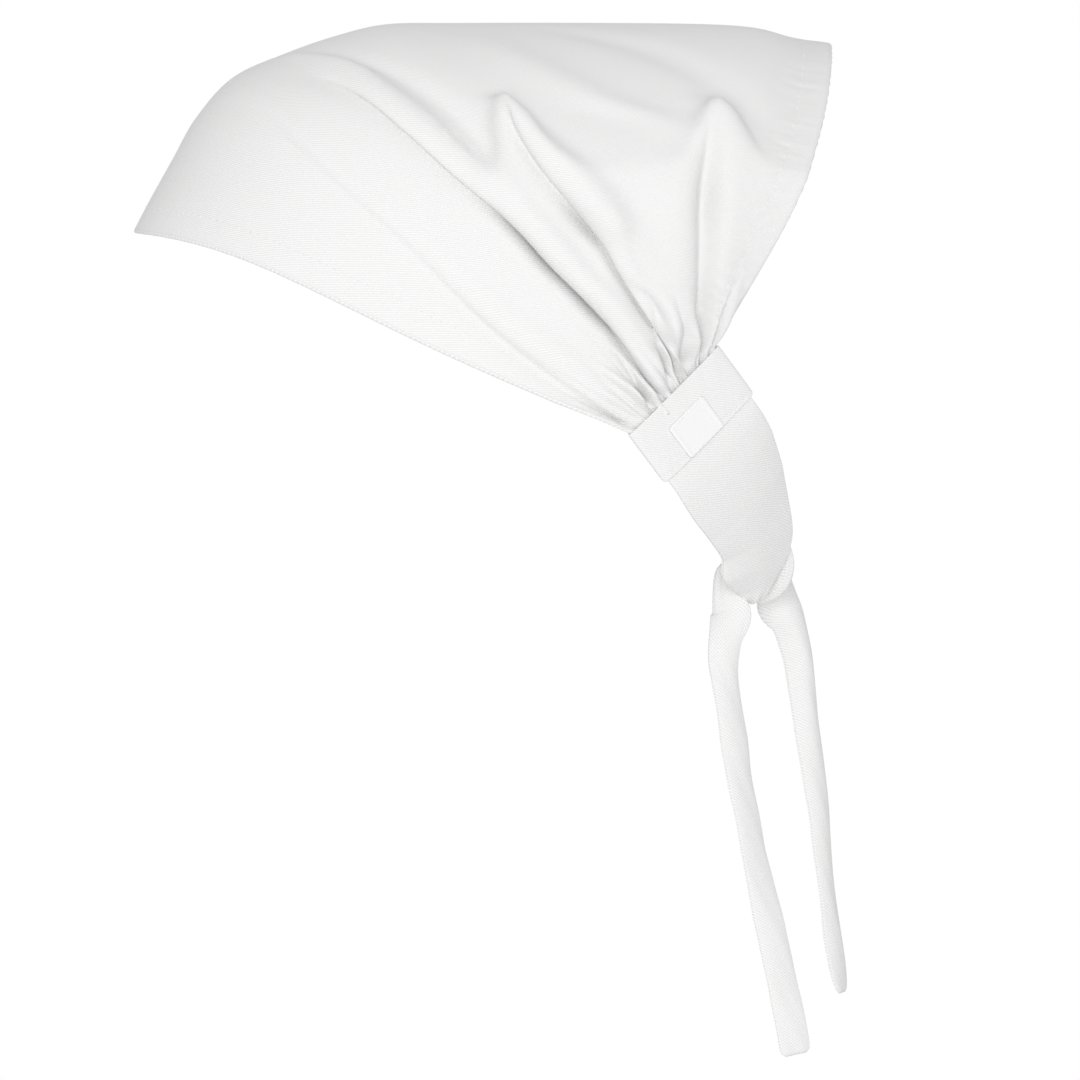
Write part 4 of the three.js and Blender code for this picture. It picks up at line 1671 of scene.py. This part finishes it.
RIGHT_ROUTE = TieRoute(
    tab=(
        (0.0, 1.0, 0.8, 0.0), (0.02, 1.0, 0.85, 0.0), (0.06, 1.0, 0.95, 0.0), (0.14, 1.0, 1.0, 0.01),
        (0.28, 0.99, 1.0, 0.03), (0.5, 0.92, 1.05, 0.06), (0.75, 0.72, 1.3, 0.08), (1.0, 0.44, 1.9, 0.06),
    ),
    bend=((-2.25, 0.1, 0.95, 104, 6, 0, 0), (-1.6, -0.6, 0.5, 104, -6, 1.55, 0.8)),
    tail=(
        (0.02, 1.2, -1.55, -20, 0.7, 2.2, 0.05), (0.06, 1.25, -1.6, -14, 0.8, 1.8, 0.1),
        (0.1, 1.35, -1.4, -5, 1.15, 1.2, 0.12), (0.151, 1.5, -1.6, 10, 0.97, 1.0, 0.12),
        (0.192, 1.5, -1.66, 20, 0.93, 1.0, 0.12), (0.233, 1.5, -1.58, 32, 0.9, 1.0, 0.1),
        (0.274, 1.5, -1.43, 42, 0.95, 1.0, 0.1), (0.355, 1.5, -1.16, 43, 1.0, 1.0, 0.08),
        (0.437, 1.5, -0.92, 49, 1.0, 1.0, 0.08), (0.518, 1.5, -0.56, 50, 1.0, 1.0, 0.06),
        (0.6, 1.5, -0.24, 47, 1.0, 1.0, 0.06), (0.681, 1.5, 0.14, 40, 1.0, 1.0, 0.06),
        (0.762, 1.5, 0.54, 35, 1.0, 1.0, 0.06), (0.844, 1.5, 0.9, 37, 1.0, 1.0, 0.05),
        (0.925, 1.5, 1.27, 30, 1.0, 1.0, 0.04), (0.985, 1.5, 1.49, 30, 0.97, 1.0, 0.03),
        (1.0, 1.5, 1.54, 30, 0.86, 0.7, 0.02),
    ),
    end_way=(0.75, -0.1, -0.65), tail_length=0.152, wind_from=0, curl=0.0,
)


@dataclass
class Tie:
    """One strip of cloth: a wide tab under its cuff, a turn in the knot and a hanging tail."""

    seam: SeamFrame
    cuff: Cuff
    knot: Knot
    side: Side
    route: TieRoute
    tab_width: float = 0.0385
    tab_thickness: float = 0.002
    tail_width: float = 0.011
    tail_thickness: float = 0.0016
    strand_width: float = 0.0069
    strand_thickness: float = 0.0056
    dip: float = 0.004
    cuff_gap: float = 0.0003
    start_pull: float = 1.1
    end_pull: float = 0.8
    wind_steps: int = 8
    spacing: float = 0.0008
    way_step: float = 0.0005
    flat_share: float = 0.965
    flat_points: int = 41
    edge_thinning: float = 0.45
    bunched: tuple[float, float] = (0.15, 0.7)
    crease: float = 0.0006
    crease_rate: float = 2.6
    crease_stray: float = 0.8
    crease_run: float = 0.012
    layer_shift: float = 1.2
    fold: float = 0.00035
    fold_rate: float = 3.5
    fold_stray: float = 1.2
    fold_run: float = 0.03
    fold_start: tuple[float, float] = (0.02, 0.06)
    fold_end: tuple[float, float] = (0.11, 0.13)
    slack: float = 0.00018
    slack_run: float = 0.011
    slack_slant: float = 1.5
    waver: float = 0.00012
    waver_run: float = 0.009
    slack_start: tuple[float, float] = (0.1, 0.14)
    curl_start: tuple[float, float] = (0.1, 0.13)
    end_run: float = 0.0016
    end_width: float = 0.8
    end_thickness: float = 0.3

    # share of the half width, share of the half thickness, round one edge with its gap between the layers
    edge: Rows = (
        (0.982, 0.9), (0.994, 0.74), (1.0, 0.55), (0.994, 0.34), (0.978, 0.16), (0.962, 0.0),
        (0.978, -0.16), (0.994, -0.34), (1.0, -0.55), (0.994, -0.74), (0.982, -0.9),
    )

    def tab_rows(self) -> Floats:
        """Lays the tab from inside the cuff to the knot.

        Its middle line is a cubic between the cuff and the first bend row, with a way given at each end,
        and its face turns smoothly from the cuff's face to the knot's.

        Returns:
            Rows of centre, face, width, thickness and hollow.
        """
        onto, tab = self.side, np.array(self.route.tab)
        start = self.seam.point(0.0, self.cuff.width + self.cuff_gap, -self.cuff.thickness / 2)
        start, start_face = mirrored(start, onto), mirrored(self.seam.outward, onto)
        start_way, end_way = mirrored(self.seam.down, onto), unit(np.array(self.route.end_way))
        out, back, up, turn, tip = self.route.bend[0][:5]
        end = self.knot.offset(out, back, up)
        pull = np.linalg.norm(end - start)
        q = tab[:, :1]
        leaving = start_way * (q**3 - 2 * q**2 + q) * pull * self.start_pull
        coming = end_way * (q**3 - q**2) * pull * self.end_pull
        centres = start * (2 * q**3 - 3 * q**2 + 1) + leaving + end * (3 * q**2 - 2 * q**3) + coming
        turned = ease(0, 1, q)
        faces = unit(start_face * (1 - turned) + facing(turn, tip) * turned)
        sizes = tab[:, 1:] * np.array([self.tab_width, self.tab_thickness, 1.0])
        dips = np.array([[self.dip], [self.dip / 2]])
        tucked_faces, tucked_sizes = (np.repeat(part[:1], 2, 0) for part in (faces, sizes))
        tucked = np.column_stack([start - start_way * dips, tucked_faces, tucked_sizes])
        return np.concatenate([tucked, np.column_stack([centres, faces, sizes])])

    def knot_rows(self) -> Floats:
        """Lays the strand through the knot: its bend rows, then its part of a winding of one turn.

        Returns:
            Rows of centre, face, width, thickness and hollow.
        """
        first_side = self.side is Side.LEFT
        strand = np.array([self.strand_width, self.strand_thickness, 0.0])
        out, back, up, turn, tip, width, thickness = np.array(self.route.bend[1:], float).T
        sizes = strand * np.stack([width, thickness, 0 * width], -1)
        bend = np.column_stack([self.knot.offset(out, back, up), facing(turn, tip), sizes])
        q = np.arange(self.route.wind_from, self.wind_steps + 1) / self.wind_steps
        turn = q if first_side else 0.5 - q
        centres = self.knot.wind(self.side.value * self.knot.half * (1 - 2 * q), turn)
        faces = self.knot.wind_face(turn) * (1 if first_side else -1)
        wound = np.column_stack([centres, faces, np.broadcast_to(strand, (len(q), 3))])
        return np.concatenate([bend, wound])

    def tail_rows(self) -> Floats:
        """Lays the hanging tail from its table.

        Returns:
            Rows of centre, face, width, thickness and hollow.
        """
        drop, out, back, turn, width, thickness, hollow = np.array(self.route.tail, float).T
        centres = self.knot.offset(out, back, 0 * drop) - (drop * self.route.tail_length)[:, None] * UP
        sizes = np.stack([width * self.tail_width, thickness * self.tail_thickness, hollow], -1)
        return np.column_stack([centres, facing(turn, 0.0), sizes])

    def stops(self) -> Floats:
        """Rows of run, centre, face, width, thickness and hollow, from the cuff to the free end."""
        rows = np.concatenate([self.tab_rows(), self.knot_rows(), self.tail_rows()])
        return np.column_stack([run_length(rows[:, :3], 0), rows])

    def section(self) -> tuple[Floats, Floats]:
        """Goes round the two-layer section, from one edge over the outer layer and back under the inner one.

        Returns:
            Shares of the half width and of the half thickness.
        """
        flat = np.linspace(-self.flat_share, self.flat_share, self.flat_points)
        edge_across, edge_height = np.array(self.edge).T
        across = np.concatenate([flat, edge_across, flat[::-1], -edge_across])
        height = np.concatenate([0 * flat + 1, edge_height, 0 * flat - 1, -edge_height])
        return across[None], height[None]

    def drape(self, run: Floats, across: Floats, height: Floats, bunching: Floats) -> Floats:
        """Adds up how far the cloth stands out of its section.

        Where the strip is bunched, cosines across it make lengthwise pleats. One broad soft fold, a cosine
        too, runs down the tab into the knot, and the tail has a slight slack, a wobble.

        Args:
            run: Distances along the strip.
            across: Shares of the half width.
            height: Shares of the half thickness.
            bunching: How bunched the strip is, from 0 to 1.

        Returns:
            Metres along the face.
        """
        seed = 2.0 + self.side.value
        stray = self.crease_stray * wobble(run / self.crease_run, seed)
        phase = self.crease_rate * math.pi * across + stray + (height < 0) * self.layer_shift
        creases = self.crease * bunching * np.cos(phase) * np.abs(height)
        narrowing = ease(*self.fold_start, run) * (1 - ease(*self.fold_end, run))
        stray = self.fold_stray * wobble(run / self.fold_run, seed + 1)
        fold = self.fold * narrowing * np.cos(self.fold_rate * across + stray)
        loose = ease(*self.slack_start, run)
        slack = self.slack * loose * wobble(run / self.slack_run + self.slack_slant * across, seed + 3)
        return creases * np.sign(height) + fold + slack

    def build(self) -> Surface:
        """Builds the strip.

        A flat two-layer section is carried along the middle line. It is hollow on its inner side by the
        square of the share across, its layers thin toward the edges by a fourth power, and its free end is
        rounded by a quarter of a circle.

        Returns:
            The closed surface.
        """
        rows = self.stops()
        total = rows[-1, 0]
        places = np.linspace(0, total, int(total / self.spacing))
        centre, face, width, thick, hollow = np.split(read_table(rows, places), (3, 6, 7, 8), axis=1)
        after, before = (read_table(rows, places + step)[:, :3] for step in (self.way_step, -self.way_step))
        way = unit(after - before)
        face = unit(face - way * (face * way).sum(-1, keepdims=True))
        over = np.cross(way, face)

        run = places[:, None]
        across, height = self.section()
        rounded = np.sqrt(1 - (1 - np.clip((total - run) / self.end_run, 0, 1)) ** 2)
        loose = ease(*self.slack_start, run)
        waver = self.waver * wobble(run / self.waver_run, 7.0 + self.side.value) * loose
        half_width = width / 2 * (self.end_width + (1 - self.end_width) * rounded) + waver
        ends = self.end_thickness + (1 - self.end_thickness) * rounded
        layer = thick / 2 * (1 - self.edge_thinning * across**4) * ends
        curl = 1 + self.route.curl * (across > 0) * ease(*self.curl_start, run)
        sink = hollow * width * across**2 * curl
        lift = height * layer + self.drape(run, across, height, ease(*self.bunched, thick / width)) - sink
        points = centre[:, None] + over[:, None] * (across * half_width)[..., None]
        points = points + face[:, None] * lift[..., None]
        return loft(points, np.stack(np.broadcast_arrays(run, across * width / 2), -1))

    def dress(self, finish: bpy.types.Material) -> bpy.types.Object:
        """Makes the strip.

        Args:
            finish: The cloth.

        Returns:
            The piece.
        """
        word = self.side.name.lower()
        strip = self.build().put(f"tie_cloth_{word}", finish)
        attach(strip, BODY)
        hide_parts(f"tie_{word}")
        return strip


# Studio


@dataclass
class Studio:
    """Camera, pale floor and soft light."""

    aim: tuple[float, float, float] = (0.0, 0.0281, -0.1597)
    distance: float = 2.0
    elevation: float = 2.2
    frame_width: float = 0.3375
    sensor: float = 36.0
    floor_level: float = -0.46
    floor_radius: float = 0.85
    floor_points: int = 96
    floor_mottle: float = 9.0
    floor_dark: Colour = (0.93, 0.93, 0.93)
    floor_light: Colour = (0.96, 0.96, 0.96)
    floor_roughness: float = 0.9
    key_power: float = 25.0
    key_size: float = 1.4
    key_place: tuple[float, float, float] = (2.4, 0.0, 0.05)
    key_aim: tuple[float, float, float] = (0.0, 0.03, -0.1)
    air_level: float = 0.67
    air_overhead: float = 0.68
    overhead_height: float = 0.9

    def camera(self) -> None:
        """Sets the camera to look along -X and a little down."""
        data = bpy.data.cameras.new("camera")
        data.sensor_width = self.sensor
        data.lens = self.sensor * self.distance / self.frame_width
        data.clip_start, data.clip_end = 0.05, 50.0
        eye = bpy.data.objects.new("camera", data)
        tip = math.radians(self.elevation)
        away = Vector((math.cos(tip), 0.0, math.sin(tip)))
        eye.location = Vector(self.aim) + away * self.distance
        eye.rotation_euler = (-away).to_track_quat("-Z", "Y").to_euler()
        bpy.context.scene.collection.objects.link(eye)
        bpy.context.scene.camera = eye

    def floor(self) -> None:
        """Lays a pale round floor well below the ties."""
        turns = np.arange(self.floor_points) / self.floor_points * 2 * math.pi
        x, y = self.floor_radius * np.cos(turns), self.floor_radius * np.sin(turns)
        ring = np.stack([x, y, 0 * turns + self.floor_level], -1)
        bench = NodeBench("pale_floor")
        place = bench.add("ShaderNodeTexCoord").outputs["Object"]
        tone = bench.blend(bench.noise(place, self.floor_mottle), self.floor_dark, self.floor_light)
        bench.plug(tone, bench.shader.inputs["Base Color"])
        bench.shader.inputs["Roughness"].default_value = self.floor_roughness
        floor = Surface(ring, [tuple(range(self.floor_points))], ring[:, :2]).put("floor", bench.material)

    def air(self) -> None:
        """Lights the hat from all round, a little brighter overhead, and shows plain white behind it."""
        world = bpy.data.worlds.new("studio_air")
        bpy.context.scene.world = world
        world.use_nodes = True
        nodes, links = world.node_tree.nodes, world.node_tree.links
        nodes.clear()
        place = nodes.new("ShaderNodeTexCoord")
        split = nodes.new("ShaderNodeSeparateXYZ")
        links.new(place.outputs["Generated"], split.inputs[0])
        height = nodes.new("ShaderNodeMapRange")
        height.inputs["From Min"].default_value = 0.0
        height.inputs["From Max"].default_value = self.overhead_height
        height.inputs["To Min"].default_value = self.air_level
        height.inputs["To Max"].default_value = self.air_overhead
        links.new(split.outputs["Z"], height.inputs["Value"])
        soft, seen = nodes.new("ShaderNodeBackground"), nodes.new("ShaderNodeBackground")
        soft.inputs["Color"].default_value = (1, 1, 1, 1)
        seen.inputs["Color"].default_value = (1, 1, 1, 1)
        seen.inputs["Strength"].default_value = 1.0
        links.new(height.outputs["Result"], soft.inputs["Strength"])
        ray = nodes.new("ShaderNodeLightPath")
        mix, out = nodes.new("ShaderNodeMixShader"), nodes.new("ShaderNodeOutputWorld")
        links.new(ray.outputs["Is Camera Ray"], mix.inputs[0])
        links.new(soft.outputs[0], mix.inputs[1])
        links.new(seen.outputs[0], mix.inputs[2])
        links.new(mix.outputs[0], out.inputs["Surface"])

    def key(self) -> None:
        """Hangs one large soft lamp on the wearer's left, out of the camera's sight."""
        lamp = bpy.data.lights.new("key", "AREA")
        lamp.shape, lamp.size, lamp.energy = "DISK", self.key_size, self.key_power
        key = bpy.data.objects.new("key", lamp)
        key.location = self.key_place
        beam = Vector(self.key_aim) - Vector(self.key_place)
        key.rotation_euler = beam.to_track_quat("-Z", "Y").to_euler()
        key.visible_camera = False
        bpy.context.scene.collection.objects.link(key)

    def set_up(self) -> None:
        """Sets up the view, camera, floor, air and key lamp."""
        bpy.context.scene.view_settings.view_transform = "Standard"
        self.camera()
        self.floor()
        self.air()
        self.key()


def main() -> None:
    """Builds the hat from the crown down to its ties, then the studio."""
    logging.basicConfig(level=logging.INFO, format="%(message)s")
    seam = SeamFrame()
    crown_twill = TwillFinish("crown_twill").material()
    cuff_twill = TwillFinish("cuff_twill", rib_turn=47.0).material()
    tie_twill = TwillFinish("tie_twill", rib_turn=49.0).material()
    thread = ThreadFinish().material()
    pieces = Crown(seam).dress(crown_twill, thread)
    cuffs = {side: Cuff(seam, side) for side in Side}
    for cuff in cuffs.values():
        pieces += cuff.dress(cuff_twill, thread)
    pieces += Label(seam, cuffs[Side.LEFT]).dress(LabelFinish().material(), thread)
    knot = Knot()
    for side, route in ((Side.LEFT, LEFT_ROUTE), (Side.RIGHT, RIGHT_ROUTE)):
        pieces.append(Tie(seam, cuffs[side], knot, side, route).dress(tie_twill))
    for piece in pieces:
        LOG.info("%s: %d faces", piece.name, len(piece.data.polygons))
    Studio().set_up()


if __name__ == "__main__":
    main()
